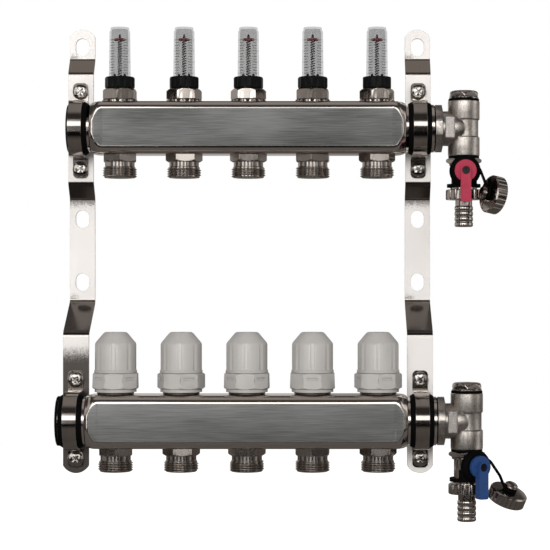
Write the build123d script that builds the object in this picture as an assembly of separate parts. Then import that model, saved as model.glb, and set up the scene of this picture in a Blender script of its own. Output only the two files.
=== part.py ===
from build123d import *
from math import cos, radians, sin, sqrt, tan
import os

# A five-circuit stainless steel heating manifold on two cranked strip brackets.
# Millimetres. +X runs along the bars to the drain valves, +Y points into the wall, +Z is up.
# The origin is midway between the two wall slots of the left bracket, on the back of its strip.

# Layout
CIRCUITS = 5
CIRCUIT_PITCH = 50.0
BAR_SPACING = 225.0
SUPPLY_AXIS_Z = 94.5

# Fits between pieces
RUNNING = 0.05
FREE = 0.3
SEAT_GAP = 0.25

# Bars
BAR_LENGTH = 248.0
BAR_SIDE = 40.5
BAR_CORNER = 6.5
BAR_END_ROUND = 6.0
BAR_DRAW = 7.0
BAR_WALL = 1.5
NECK_RADIUS = 18.5
NECK_LENGTH = 20.0
INLET_RADIUS = 15.15
INLET_DEPTH = 17.0
PORT_RADIUS = 10.2
STUB_CLEARANCE = 0.1
STUB_DEPTH = 4.0

# Strip brackets
STRIP_WIDTH = 20.0
STRIP_THICK = 2.5
STRIP_BEND = 5.0
STRIP_END_RADIUS = 11.4
UPPER_STEP = 10.0
LOWER_STEP = 40.0
UPPER_RUN = 11.5
LOWER_RUN = 23.5
UPPER_FLAT_ABOVE = 45.0
UPPER_FLAT_BELOW = 41.5
LOWER_FLAT_ABOVE = 66.0
LOWER_FLAT_BELOW = 42.0
SLOT_WIDTH = 10.5
SLOT_LENGTH = 14.0
SLOT_PITCH = 50.0
TOP_SLOT_RISE = 10.5
TOP_MARGIN = 14.0

# Clamps
CLAMP_OFFSET = 9.0
BAND_WIDTH = 12.0
BAND_THICK = 1.5
BAND_BEND = 1.6
LINER_THICK = 2.25
LINER_WIDTH = 18.0
LINER_LIP = 0.6
EAR_REACH = 37.5
EAR_CORNER = 3.5
SCREW_REACH = 30.5
SCREW_RADIUS = 2.45
SCREW_TAIL = 3.0
SCREW_HEAD_RADIUS = 5.4
SCREW_HEAD_HEIGHT = 3.4
RECESS_SPAN = 5.6
RECESS_WIDTH = 1.3
RECESS_DEPTH = 1.7

# Outlet nipples
NIPPLE_FLATS = 25.0
NIPPLE_HEX_HEIGHT = 5.9
NIPPLE_NECK_RADIUS = 12.0
NIPPLE_NECK_HEIGHT = 3.9
NIPPLE_THREAD_RADIUS = 13.22
NIPPLE_THREAD_LENGTH = 8.4
NIPPLE_BORE = 7.5
CONE_MOUTH = 9.3
CONE_DEPTH = 4.5
NIPPLE_TURNS = (-23.0, 8.0, 2.0, 26.0, 8.0)

# Flow meters
METER_FLANGE_RADIUS = 13.7
METER_FLANGE_HEIGHT = 2.5
METER_FLATS = 24.0
METER_HEX_HEIGHT = 7.9
METER_NECK_RADIUS = 9.2
METER_NECK_HEIGHT = 6.3
METER_TURNS = (25.0, 11.0, -4.0, 25.0, 11.0)
GUIDE_FLOOR = 2.0
SPRING_CHAMBER = 2.4
SPRING_CHAMBER_DEPTH = 7.0
GLASS_SOCKET = 8.1
GLASS_SOCKET_DEPTH = 4.0
COLLAR_FLATS = 21.8
COLLAR_CORNER_RADIUS = 11.6
COLLAR_CHAMFER = 1.5
COLLAR_TURNS = (1.0, -11.0, 13.0, -4.0, 19.0)
COLLAR_HEIGHT = 9.2
COLLAR_LIP = 2.4
GLASS_RADIUS = 8.45
GLASS_TOP_RADIUS = 7.95
GLASS_HEIGHT = 41.6
GLASS_RIM_RADIUS = 7.25
GLASS_RIM_HEIGHT = 2.6
GLASS_WALL = 1.5
ROD_RADIUS = 0.6
ROD_TIP = 3.0
DISC_RADIUS = 4.65
DISC_THICK = 1.9
DISC_BELOW_RIM = 8.2
PLATE_RADIUS = 5.5
PLATE_THICK = 2.0
PLATE_DROP = 10.0
SPRING_RADIUS = 1.9
SPRING_WIRE = 0.5

# Balancing valves and their caps
INSERT_FLANGE_RADIUS = 14.0
INSERT_FLANGE_HEIGHT = 1.8
INSERT_THREAD_RADIUS = 15.0
INSERT_THREAD_HEIGHT = 10.6
GLAND_RADIUS = 6.5
GLAND_HEIGHT = 1.4
INSERT_CHAMBER = 6.0
INSERT_TAIL_RADIUS = 8.0
INSERT_TAIL = 14.0
SPINDLE_RADIUS = 3.0
SPINDLE_TOP = 12.0
SPINDLE_DISC_RADIUS = 9.0
SPINDLE_DISC_THICK = 3.0
SPINDLE_STROKE = 3.0
SEAT_RISE = 3.75
RING_FLATS = 34.2
RING_TAPER = 0.4
RING_HEIGHT = 12.0
RING_LIP_RADIUS = 15.9
RING_LIP_HEIGHT = 2.4
RING_COVER = 1.5
RING_TURNS = (1.0, -20.0, -2.0, 45.0, -23.0)
WINDOWS = 4
WINDOW_WIDTH = 8.2
WINDOW_HEIGHT = 2.3
WINDOW_DROP = 4.2
WINDOW_DEPTH = 1.1
KNOB_FOOT_RADIUS = 14.8
KNOB_FOOT_HEIGHT = 1.7
KNOB_COLLAR_RADIUS = 16.2
KNOB_COLLAR_HEIGHT = 2.2
KNOB_RADIUS = 15.7
KNOB_WALL_HEIGHT = 19.9
KNOB_BEVEL_HEIGHT = 8.6
KNOB_TOP_RADIUS = 8.9
KNOB_WALL = 2.0
KNOB_FLUTES = 8
KNOB_FLUTE_RADIUS = 3.75
KNOB_FLUTE_DEPTH = 0.45
HUB_RADIUS = 6.0
HUB_BORE_DEPTH = 14.0

# Tees at the right ends
TUBE_OFFSET = 43.5
TUBE_RADIUS = 12.3
TUBE_HALF_HEIGHT = 21.4
WAIST_RADIUS = 11.3
WAIST_HALF_HEIGHT = 6.2
PORT_THREAD_RADIUS = 9.25
PORT_THREAD_DEPTH = 10.2
TEE_BORE = 8.0
TEE_HEX_FLATS = 35.4
TEE_HEX_RADIUS = 18.4
TEE_HEX_WIDTH = 6.0
NECK_SEAL_THICK = 1.0
SPIGOT_LENGTH = 13.0
BRANCH_BORE = 9.0
BRANCH_RADIUS = 13.4
BRANCH_NOSE_RADIUS = 11.7
PAD_WIDTH = 7.4
PAD_HEIGHT = 17.2
PAD_REACH = 14.4
PAD_CORNER = 1.2

# Vent plugs
SEAL_THICK = 1.6
SEAL_RADIUS = 12.0
PLUG_FLATS = 21.5
PLUG_HEX_HEIGHT = 6.3
PLUG_TURN = 4.0
BLEED_RADIUS = 3.0
BLEED_LENGTH = 9.0
BLEED_SLOT = 0.9

# Drain valves
LOCKNUT_FLATS = 24.0
LOCKNUT_HEIGHT = 4.2
DRAIN_FLANGE_RADIUS = 11.4
DRAIN_FLANGE_HEIGHT = 1.4
DRAIN_BARREL_RADIUS = 9.8
STEM_DROP = 33.5
OUTLET_TOP = 46.2
OUTLET_THREAD_RADIUS = 10.4
OUTLET_THREAD_LENGTH = 6.6
DRAIN_BORE = 4.5
BALL_RADIUS = 6.7
BALL_FLAT = 6.0
STEM_RADIUS = 3.0
STEM_SQUARE = 4.4
STEM_TONGUE = 2.4
BOSS_RADIUS = 5.9
BOSS_REACH = 14.5
LEVER_BACK = 17.4
LEVER_HEAD_RADIUS = 8.4
LEVER_HEAD_THICK = 3.0
LEVER_THICK = 7.0
LEVER_ARM_WIDTH = 7.9
LEVER_LENGTH = 24.0
LEVER_RECESS_RADIUS = 3.1
LEVER_RECESS_DEPTH = 2.6
LEVER_SCREW_RADIUS = 2.8
SUPPLY_SWIVEL = 0.0
RETURN_SWIVEL = 28.0
TEE_HEX_TURNS = {"supply": 4.0, "return": 12.5}

# Hose tails, nuts and caps
UNION_RADIUS = 14.0
UNION_DROP = 47.5
UNION_HEIGHT = 7.9
UNION_LIP = 1.2
UNION_RIDGES = 18
TAIL_RADIUS = 6.6
TAIL_BORE = 4.5
TAIL_FLANGE_RADIUS = 9.8
TAIL_FLANGE_THICK = 0.8
TAIL_LENGTH = 21.0
BARB_RADIUS = 7.2
BARBS = 4
GASKET_THICK = 0.6
CAP_RADIUS = 14.6
CAP_HEIGHT = 9.0
CAP_WALL = 1.8
CAP_RIDGES = 24
CAP_NECK_RADIUS = 2.6
CAP_NECK_HEIGHT = 3.0
CAP_KNOB_RADIUS = 4.9
CAP_KNOB_HEIGHT = 3.4
RIDGE_CUT = 1.1
RIDGE_DEPTH = 0.5

# Cap straps. Points are measured from the tee's tube axis at the height of the bar's axis.
STRAP_DISC_RADIUS = 12.0
STRAP_DISC_BACK = 11.0
STRAP_DISC_THICK = 5.4
STRAP_RING_RADIUS = 13.1
STRAP_RING_TOP = 43.2
STRAP_RING_THICK = 2.6
STRAP_WEB_TOP = 36.5
STRAP_WEB_THICK = 0.9
STRAP_RADIUS = 1.1
STRAP_LOOP_WIDTH = 2.4
STRAP_LOOP_THICK = 1.8
SUPPLY_CAP_CENTRE = (21.4, -19.0, -52.2)
SUPPLY_CAP_AXIS = (-0.90, -0.39, 0.20)
SUPPLY_STRAP_BENDS = ((7.0, -14.4, -26.0), (11.6, -14.8, -33.0), (14.6, -16.6, -41.0))
RETURN_CAP_CENTRE = (30.5, -3.8, -56.6)
RETURN_CAP_AXIS = (0.33, -0.29, 0.90)
RETURN_STRAP_BENDS = ((10.6, -11.4, -26.2), (17.0, -9.4, -29.6), (24.6, -7.6, -41.0))

# Worked out from the sizes above
BRACKET_PITCH = BAR_LENGTH + 2 * CLAMP_OFFSET
CENTRE_X = BRACKET_PITCH / 2
BAR_TOP = BAR_SIDE / 2
SHAFT_STANDOFF = NECK_RADIUS + LINER_THICK + SEAT_GAP
SUPPLY_Y = -(STRIP_THICK + UPPER_STEP + SHAFT_STANDOFF)
RETURN_Y = -(STRIP_THICK + LOWER_STEP + SHAFT_STANDOFF)
RETURN_AXIS_Z = SUPPLY_AXIS_Z - BAR_SPACING
STUB_RADIUS = PORT_RADIUS - STUB_CLEARANCE
NECK_END = BAR_LENGTH / 2 + NECK_LENGTH
TUBE_X = BAR_LENGTH / 2 + TUBE_OFFSET
BARS = {"supply": (SUPPLY_Y, SUPPLY_AXIS_Z), "return": (RETURN_Y, RETURN_AXIS_Z)}
SWIVELS = {"supply": SUPPLY_SWIVEL, "return": RETURN_SWIVEL}

# Heights on a flow meter, above the bar's axis
METER_HEX_TOP = BAR_TOP + METER_FLANGE_HEIGHT + METER_HEX_HEIGHT
METER_NECK_TOP = METER_HEX_TOP + METER_NECK_HEIGHT
SOCKET_FLOOR = METER_NECK_TOP - GLASS_SOCKET_DEPTH
SPRING_SEAT = SOCKET_FLOOR - SPRING_CHAMBER_DEPTH
GLASS_TOP = METER_NECK_TOP + GLASS_HEIGHT
DISC_TOP = GLASS_TOP - DISC_BELOW_RIM
DISC_BOTTOM = DISC_TOP - DISC_THICK

# Heights on a balancing valve, above the bar's axis
INSERT_THREAD_FOOT = BAR_TOP + INSERT_FLANGE_HEIGHT
INSERT_THREAD_TOP = INSERT_THREAD_FOOT + INSERT_THREAD_HEIGHT
GLAND_TOP = INSERT_THREAD_TOP + GLAND_HEIGHT
RING_FOOT = INSERT_THREAD_FOOT + SEAT_GAP
RING_TOP = RING_FOOT + RING_LIP_HEIGHT + RING_HEIGHT
KNOB_FOOT = INSERT_THREAD_TOP + FREE
KNOB_SHOULDER = RING_TOP + FREE
KNOB_WALL_FOOT = KNOB_SHOULDER + KNOB_COLLAR_HEIGHT
KNOB_WALL_TOP = KNOB_WALL_FOOT + KNOB_WALL_HEIGHT
KNOB_TOP = KNOB_WALL_TOP + KNOB_BEVEL_HEIGHT
NIPPLE_SEAT = -(BAR_TOP - SEAT_RISE)

# Depths on a drain valve, below the bar's axis
SEAL_BOTTOM = TUBE_HALF_HEIGHT + SEAL_THICK
LOCKNUT_BOTTOM = SEAL_BOTTOM + LOCKNUT_HEIGHT
FLANGE_BOTTOM = LOCKNUT_BOTTOM + SEAT_GAP + DRAIN_FLANGE_HEIGHT
OUTLET_BOTTOM = OUTLET_TOP + OUTLET_THREAD_LENGTH
UNION_BOTTOM = UNION_DROP + UNION_HEIGHT
UNION_LIP_TOP = UNION_BOTTOM - UNION_LIP


def turned(points):
    """A solid of revolution about Z, from the closed outline's (radius, height) points."""
    outline = Polyline([(radius, 0, height) for radius, height in points], close=True)
    return revolve(make_face(outline), Axis.Z)


def rod(radius, low, high):
    """A plain cylinder along Z between two heights."""
    return Pos(0, 0, low) * Cylinder(radius, high - low, align=(Align.CENTER, Align.CENTER, Align.MIN))


def block(size, centre):
    """A plain box of a size about a centre."""
    return Pos(*centre) * Box(*size)


def along_x(solid):
    """Turns a solid made about Z so that its top points along +X."""
    return Rot(0, 90, 0) * solid


def to_front(solid):
    """Turns a solid made about Z so that its top points to the front, along -Y."""
    return Rot(90, 0, 0) * solid


def bevelled_hex(flats, low, high, bevel_low=True, bevel_high=True):
    """A hexagon bar between two heights whose corners are turned off at 30 degrees."""
    prism = Pos(0, 0, low) * extrude(RegularPolygon(flats / 2, 6, major_radius=False), high - low)
    corner = flats / sqrt(3) + FREE
    face = flats / 2 * 0.98
    cut = (corner - face) * tan(radians(30))
    foot = [(face, low), (corner, low + cut)] if bevel_low else [(corner, low)]
    head = [(corner, high - cut), (face, high)] if bevel_high else [(corner, high)]
    return prism & turned([(0, low), *foot, *head, (0, high)])


def ridged(solid, radius, count, low, high):
    """Cuts rounded grooves between two heights round the outside of a solid, leaving ridges."""
    cutter = Pos(radius + RIDGE_CUT - RIDGE_DEPTH, 0, 0) * rod(RIDGE_CUT, low, high)
    for i in range(count):
        solid -= Rot(0, 0, 360 * i / count) * cutter
    return solid


def side_view(points, radii=0):
    """A line in the YZ plane through (y, z) points, with its corners rounded."""
    return FilletPolyline([(0, y, z) for y, z in points], radius=radii)


# Brackets


def strip_bracket():
    """One flat strip cranked forward twice, with three wall slots and four clamp screw holes."""
    wall = -STRIP_THICK / 2
    upper = wall - UPPER_STEP
    lower = wall - LOWER_STEP
    upper_high = SUPPLY_AXIS_Z + UPPER_FLAT_ABOVE
    upper_low = SUPPLY_AXIS_Z - UPPER_FLAT_BELOW
    lower_high = RETURN_AXIS_Z + LOWER_FLAT_ABOVE
    lower_end = RETURN_AXIS_Z - LOWER_FLAT_BELOW
    top_slot = upper_high + UPPER_RUN + TOP_SLOT_RISE
    top_end = top_slot + TOP_MARGIN
    path = side_view(
        [
            (wall, top_end),
            (wall, upper_high + UPPER_RUN),
            (upper, upper_high),
            (upper, upper_low),
            (wall, upper_low - UPPER_RUN),
            (wall, lower_high + LOWER_RUN),
            (lower, lower_high),
            (lower, lower_end),
        ],
        STRIP_BEND,
    )
    section = Plane(origin=path @ 0, x_dir=(1, 0, 0), z_dir=path % 0) * Rectangle(STRIP_WIDTH, STRIP_THICK)
    strip = sweep(section, path)

    half = STRIP_WIDTH / 2
    sagitta = STRIP_END_RADIUS - sqrt(STRIP_END_RADIUS**2 - half**2)
    high = top_end - sagitta
    low = lower_end + sagitta
    outline = Polyline((half, 0, low), (half, 0, high))
    outline += ThreePointArc((half, 0, high), (0, 0, top_end), (-half, 0, high))
    outline += Polyline((-half, 0, high), (-half, 0, low))
    outline += ThreePointArc((-half, 0, low), (0, 0, lower_end), (half, 0, low))
    depth = LOWER_STEP + 4 * STRIP_THICK
    strip &= extrude(make_face(outline), depth, dir=(0, 1, 0), both=True)

    slot = to_front(extrude(SlotOverall(SLOT_LENGTH, SLOT_WIDTH, rotation=90), depth, both=True))
    for height in (top_slot, SLOT_PITCH / 2, -SLOT_PITCH / 2):
        strip -= Pos(0, 0, height) * slot
    hole = to_front(rod(SCREW_RADIUS + RUNNING, -depth, depth))
    for axis_z in (SUPPLY_AXIS_Z, RETURN_AXIS_Z):
        for side in (-1, 1):
            strip -= Pos(0, 0, axis_z + side * SCREW_REACH) * hole
    return strip


# Clamps


def clamp_band():
    """A saddle band over the neck, with a flat ear above and below on the strip."""
    foot = SHAFT_STANDOFF
    ear = foot - BAND_THICK / 2
    middle = NECK_RADIUS + LINER_THICK + RUNNING + BAND_THICK / 2
    line = FilletPolyline((ear, EAR_REACH), (ear, middle), (0, middle), radius=BAND_BEND)
    line += ThreePointArc((0, middle), (-middle, 0), (0, -middle))
    line += FilletPolyline((0, -middle), (ear, -middle), (ear, -EAR_REACH), radius=BAND_BEND)
    sheet = trace(line, BAND_THICK)
    band = extrude(Plane.YZ * sheet, BAND_WIDTH / 2, both=True)
    tips = [e for e in band.edges().filter_by(Axis.Y) if abs(abs(e.center().Z) - EAR_REACH) < RUNNING]
    band = fillet(tips, EAR_CORNER)
    hole = to_front(rod(SCREW_RADIUS + RUNNING, -foot - BAND_THICK, 0))
    for side in (-1, 1):
        band -= Pos(0, 0, side * SCREW_REACH) * hole
    return band


def clamp_liner():
    """A rubber sleeve on the neck, thick under the band and thin at both lips."""
    thin = NECK_RADIUS + LINER_LIP
    thick = NECK_RADIUS + LINER_THICK
    half = LINER_WIDTH / 2
    under_band = BAND_WIDTH / 2 + SEAT_GAP
    profile = [(NECK_RADIUS, -half), (thin, -half), (thick, -under_band), (thick, under_band)]
    return along_x(turned([*profile, (thin, half), (NECK_RADIUS, half)]))


def clamp_screw():
    """A pan-head screw with a cross recess, its head towards the front."""
    head = SCREW_HEAD_RADIUS
    height = SCREW_HEAD_HEIGHT
    shank = BAND_THICK + STRIP_THICK + SCREW_TAIL
    dome = [(head, 0), (head, height * 0.45), (head * 0.86, height * 0.8), (head * 0.5, height), (0, height)]
    screw = turned([(0, -shank), (SCREW_RADIUS, -shank), (SCREW_RADIUS, 0), *dome])
    for turn in (0, 90):
        cut = block((RECESS_SPAN, RECESS_WIDTH, 2 * RECESS_DEPTH), (0, 0, height))
        screw -= Rot(0, 0, turn + 45) * cut
    return to_front(screw)


# Bars


def drawn_bar(length, side, corner, end_round, neck):
    """A square bar along X whose ends are drawn in to nearly the round of its necks."""
    flat_end = length / 2 - end_round
    sections = []
    for t in (0, 0.45, 0.75, 0.93):
        radius = corner + (0.8 * neck - corner) * (1 - sqrt(1 - t * t))
        sections.append((flat_end - BAR_DRAW * (1 - t), side, radius))
    for t in (0.2, 0.4, 0.7):
        width = side - 2 * end_round * (1 - sqrt(1 - t * t))
        sections.append((flat_end + t * end_round, width, min(width / 2 - 0.4, neck * (0.8 + 0.2 * t))))
    end = loft([Plane.YZ.offset(x) * RectangleRounded(width, width, radius) for x, width, radius in sections])
    middle = extrude(Plane.YZ * RectangleRounded(side, side, corner), flat_end - BAR_DRAW, both=True)
    return middle + end + mirror(end, about=Plane.YZ)


def hollow_bar():
    """A bar pressed from tube, open at both necks and at five ports above and below."""
    wall = BAR_WALL
    round_neck = NECK_RADIUS - 0.8
    shell = drawn_bar(BAR_LENGTH, BAR_SIDE, BAR_CORNER, BAR_END_ROUND, round_neck)
    shell += along_x(rod(NECK_RADIUS, -NECK_END, NECK_END))
    hollow = BAR_SIDE - 2 * wall
    corner = BAR_CORNER - wall
    inside = drawn_bar(BAR_LENGTH - 2 * wall, hollow, corner, BAR_END_ROUND - wall, round_neck - wall)
    inside += along_x(rod(NECK_RADIUS - wall, INLET_DEPTH - NECK_END, NECK_END - INLET_DEPTH))
    inside += along_x(rod(INLET_RADIUS, -NECK_END, NECK_END))
    shell -= inside
    for i in range(CIRCUITS):
        shell -= Pos(circuit_x(i) - CENTRE_X, 0, 0) * rod(PORT_RADIUS, -BAR_SIDE, BAR_SIDE)
    return shell


def circuit_x(index):
    """The X of a circuit's axis."""
    return CENTRE_X + (index - (CIRCUITS - 1) / 2) * CIRCUIT_PITCH


# Circuits


def outlet_nipple(turn):
    """A hexagon nipple with a cone seat and a male thread for a pipe union."""
    seat = NIPPLE_SEAT
    shoulder = -BAR_TOP
    hex_foot = shoulder - NIPPLE_HEX_HEIGHT
    neck_foot = hex_foot - NIPPLE_NECK_HEIGHT
    foot = neck_foot - NIPPLE_THREAD_LENGTH
    chamfer = 0.8
    body = turned(
        [
            (NIPPLE_BORE, seat),
            (STUB_RADIUS, seat),
            (STUB_RADIUS, shoulder),
            (NIPPLE_NECK_RADIUS, shoulder),
            (NIPPLE_NECK_RADIUS, neck_foot),
            (NIPPLE_THREAD_RADIUS, neck_foot),
            (NIPPLE_THREAD_RADIUS, foot + chamfer),
            (NIPPLE_THREAD_RADIUS - chamfer, foot),
            (CONE_MOUTH, foot),
            (NIPPLE_BORE, foot + CONE_DEPTH),
        ]
    )
    collar = bevelled_hex(NIPPLE_FLATS, hex_foot, shoulder, bevel_high=False)
    collar -= rod(NIPPLE_NECK_RADIUS, hex_foot, shoulder)
    return body + Rot(0, 0, turn) * collar


def meter_body(turn):
    """A flow meter's base: a flanged hexagon with a neck that holds the sight glass."""
    foot = BAR_TOP - STUB_DEPTH
    flange = BAR_TOP + METER_FLANGE_HEIGHT
    guide = SPRING_SEAT - GUIDE_FLOOR
    core = METER_FLATS / 2 - 1
    body = turned(
        [
            (NIPPLE_BORE, foot),
            (STUB_RADIUS, foot),
            (STUB_RADIUS, BAR_TOP),
            (METER_FLANGE_RADIUS, BAR_TOP),
            (METER_FLANGE_RADIUS, flange - 0.8),
            (METER_FLANGE_RADIUS - 0.8, flange),
            (core, flange),
            (core, METER_HEX_TOP),
            (METER_NECK_RADIUS, METER_HEX_TOP),
            (METER_NECK_RADIUS, METER_NECK_TOP),
            (GLASS_SOCKET, METER_NECK_TOP),
            (GLASS_SOCKET, SOCKET_FLOOR),
            (SPRING_CHAMBER, SOCKET_FLOOR),
            (SPRING_CHAMBER, SPRING_SEAT),
            (ROD_RADIUS + RUNNING, SPRING_SEAT),
            (ROD_RADIUS + RUNNING, guide),
            (NIPPLE_BORE, guide),
        ]
    )
    collar = bevelled_hex(METER_FLATS, flange, METER_HEX_TOP, bevel_low=False)
    collar -= rod(core, flange, METER_HEX_TOP)
    return body + Rot(0, 0, turn) * collar


def flow_collar(turn):
    """The black eight-sided ring that is turned to set a circuit's flow."""
    foot = METER_HEX_TOP + FREE
    top = foot + COLLAR_HEIGHT
    inside = METER_NECK_RADIUS + FREE
    corner = COLLAR_CORNER_RADIUS
    outside = turned(
        [
            (0, foot),
            (corner - COLLAR_CHAMFER, foot),
            (corner, foot + COLLAR_CHAMFER),
            (corner, top - COLLAR_CHAMFER),
            (corner - COLLAR_CHAMFER, top),
            (0, top),
        ]
    )
    prism = extrude(RegularPolygon(COLLAR_FLATS / 2, 8, major_radius=False), COLLAR_HEIGHT)
    ring = Pos(0, 0, foot) * prism & outside
    ring -= rod(inside, foot, top - COLLAR_LIP)
    ring -= rod(GLASS_RADIUS + FREE, top - COLLAR_LIP, top)
    return Rot(0, 0, turn) * ring


def flow_glass():
    """A clear tapered sight tube with a closed top and a narrow rim."""
    bore = GLASS_SOCKET - GLASS_WALL
    shoulder = GLASS_TOP - GLASS_RIM_HEIGHT
    return turned(
        [
            (bore, SOCKET_FLOOR),
            (GLASS_SOCKET - RUNNING, SOCKET_FLOOR),
            (GLASS_SOCKET - RUNNING, METER_NECK_TOP),
            (GLASS_RADIUS, METER_NECK_TOP),
            (GLASS_TOP_RADIUS, shoulder),
            (GLASS_RIM_RADIUS, shoulder),
            (GLASS_RIM_RADIUS, GLASS_TOP),
            (0, GLASS_TOP),
            (0, GLASS_TOP - GLASS_WALL),
            (bore - 0.8, GLASS_TOP - GLASS_WALL),
            (bore, shoulder - 1),
        ]
    )


def flow_indicator():
    """A thin rod with the red disc near its top and the flow plate at its foot."""
    foot = -PLATE_DROP
    return turned(
        [
            (0, foot),
            (PLATE_RADIUS, foot),
            (PLATE_RADIUS, foot + PLATE_THICK),
            (ROD_RADIUS, foot + PLATE_THICK),
            (ROD_RADIUS, DISC_BOTTOM),
            (DISC_RADIUS, DISC_BOTTOM),
            (DISC_RADIUS, DISC_TOP),
            (ROD_RADIUS, DISC_TOP),
            (ROD_RADIUS, DISC_TOP + ROD_TIP),
            (0, DISC_TOP + ROD_TIP),
        ]
    )


def flow_spring():
    """The coil spring's envelope, from its seat in the base up to the disc."""
    inner = SPRING_RADIUS - SPRING_WIRE
    top = DISC_BOTTOM - SEAT_GAP
    return turned([(inner, SPRING_SEAT), (SPRING_RADIUS, SPRING_SEAT), (SPRING_RADIUS, top), (inner, top)])


def valve_insert():
    """A balancing valve's body: it screws into the bar and guides the spindle."""
    foot = BAR_TOP - INSERT_TAIL
    return turned(
        [
            (INSERT_CHAMBER, foot),
            (INSERT_TAIL_RADIUS, foot),
            (INSERT_TAIL_RADIUS, BAR_TOP - STUB_DEPTH),
            (STUB_RADIUS, BAR_TOP - STUB_DEPTH),
            (STUB_RADIUS, BAR_TOP),
            (INSERT_FLANGE_RADIUS, BAR_TOP),
            (INSERT_FLANGE_RADIUS, INSERT_THREAD_FOOT),
            (INSERT_THREAD_RADIUS, INSERT_THREAD_FOOT),
            (INSERT_THREAD_RADIUS, INSERT_THREAD_TOP),
            (GLAND_RADIUS, INSERT_THREAD_TOP),
            (GLAND_RADIUS, GLAND_TOP),
            (SPINDLE_RADIUS + RUNNING, GLAND_TOP),
            (SPINDLE_RADIUS + RUNNING, INSERT_THREAD_FOOT + 4),
            (INSERT_CHAMBER, INSERT_THREAD_FOOT + 4),
        ]
    )


def cap_ring(turn):
    """The eight-sided lower ring of a cap, screwed to the insert, with four small windows."""
    foot = RING_FOOT + RING_LIP_HEIGHT
    cover = RING_TOP - RING_COVER
    thread = INSERT_THREAD_RADIUS + RUNNING
    low = RegularPolygon(RING_FLATS / 2, 8, major_radius=False)
    high = RegularPolygon(RING_FLATS / 2 - RING_TAPER, 8, major_radius=False)
    ring = loft([Pos(0, 0, foot) * low, Pos(0, 0, RING_TOP) * high])
    corner = RING_FLATS / 2 / cos(radians(22.5)) - 0.35
    edge = [(corner - 1.6, foot), (corner, foot + 1), (corner, RING_TOP - 1), (corner - 1.6, RING_TOP)]
    ring &= turned([(0, foot), *edge, (0, RING_TOP)])
    ring += rod(RING_LIP_RADIUS, RING_FOOT, foot)
    ring -= rod(thread, RING_FOOT, cover)
    ring -= rod(KNOB_FOOT_RADIUS - KNOB_FOOT_HEIGHT / 2 + FREE, cover, RING_TOP)
    window = block(
        (2 * WINDOW_DEPTH, WINDOW_WIDTH, WINDOW_HEIGHT),
        (RING_FLATS / 2, 0, RING_TOP - WINDOW_DROP),
    )
    for i in range(WINDOWS):
        ring -= Rot(0, 0, 45 - 22.5 + 360 * i / WINDOWS) * window
    return Rot(0, 0, turn + 22.5) * ring


def valve_knob():
    """The white cap that is turned to open and close a circuit."""
    neck = KNOB_FOOT_RADIUS - KNOB_FOOT_HEIGHT / 2
    bore = neck - 1.2
    roof = KNOB_TOP - KNOB_WALL
    flange_top = KNOB_FOOT + KNOB_FOOT_HEIGHT
    shell = turned(
        [
            (bore, KNOB_FOOT),
            (KNOB_FOOT_RADIUS, KNOB_FOOT),
            (KNOB_FOOT_RADIUS, flange_top - 0.3),
            (neck, flange_top),
            (neck, KNOB_SHOULDER),
            (KNOB_COLLAR_RADIUS, KNOB_SHOULDER),
            (KNOB_COLLAR_RADIUS, KNOB_WALL_FOOT - 0.5),
            (KNOB_RADIUS, KNOB_WALL_FOOT),
            (KNOB_RADIUS, KNOB_WALL_TOP - 0.8),
            (KNOB_RADIUS - 0.5, KNOB_WALL_TOP + 0.6),
            (KNOB_TOP_RADIUS + 0.4, KNOB_TOP - 0.9),
            (KNOB_TOP_RADIUS - 0.9, KNOB_TOP),
            (0, KNOB_TOP),
            (0, roof),
            (KNOB_TOP_RADIUS - KNOB_WALL, roof),
            (bore, KNOB_WALL_TOP - 1.5),
        ]
    )
    flute = Pos(KNOB_RADIUS + KNOB_FLUTE_RADIUS - KNOB_FLUTE_DEPTH, 0, 0)
    flute *= rod(KNOB_FLUTE_RADIUS, KNOB_WALL_FOOT, KNOB_WALL_TOP + 2)
    for i in range(KNOB_FLUTES):
        shell -= Rot(0, 0, 360 * i / KNOB_FLUTES) * flute
    hub_foot = GLAND_TOP + 2
    hub = rod(HUB_RADIUS, hub_foot, roof) - rod(SPINDLE_RADIUS + FREE, hub_foot, hub_foot + HUB_BORE_DEPTH)
    return shell + hub


def valve_spindle():
    """A valve's spindle with the sealing disc that closes on the nipple's seat."""
    disc_foot = NIPPLE_SEAT + SPINDLE_STROKE + SEAT_GAP
    disc_top = disc_foot + SPINDLE_DISC_THICK
    top = GLAND_TOP + SPINDLE_TOP
    return turned(
        [
            (0, disc_foot),
            (SPINDLE_DISC_RADIUS, disc_foot),
            (SPINDLE_DISC_RADIUS, disc_top),
            (SPINDLE_RADIUS, disc_top),
            (SPINDLE_RADIUS, top),
            (0, top),
        ]
    )


# Right ends


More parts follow.
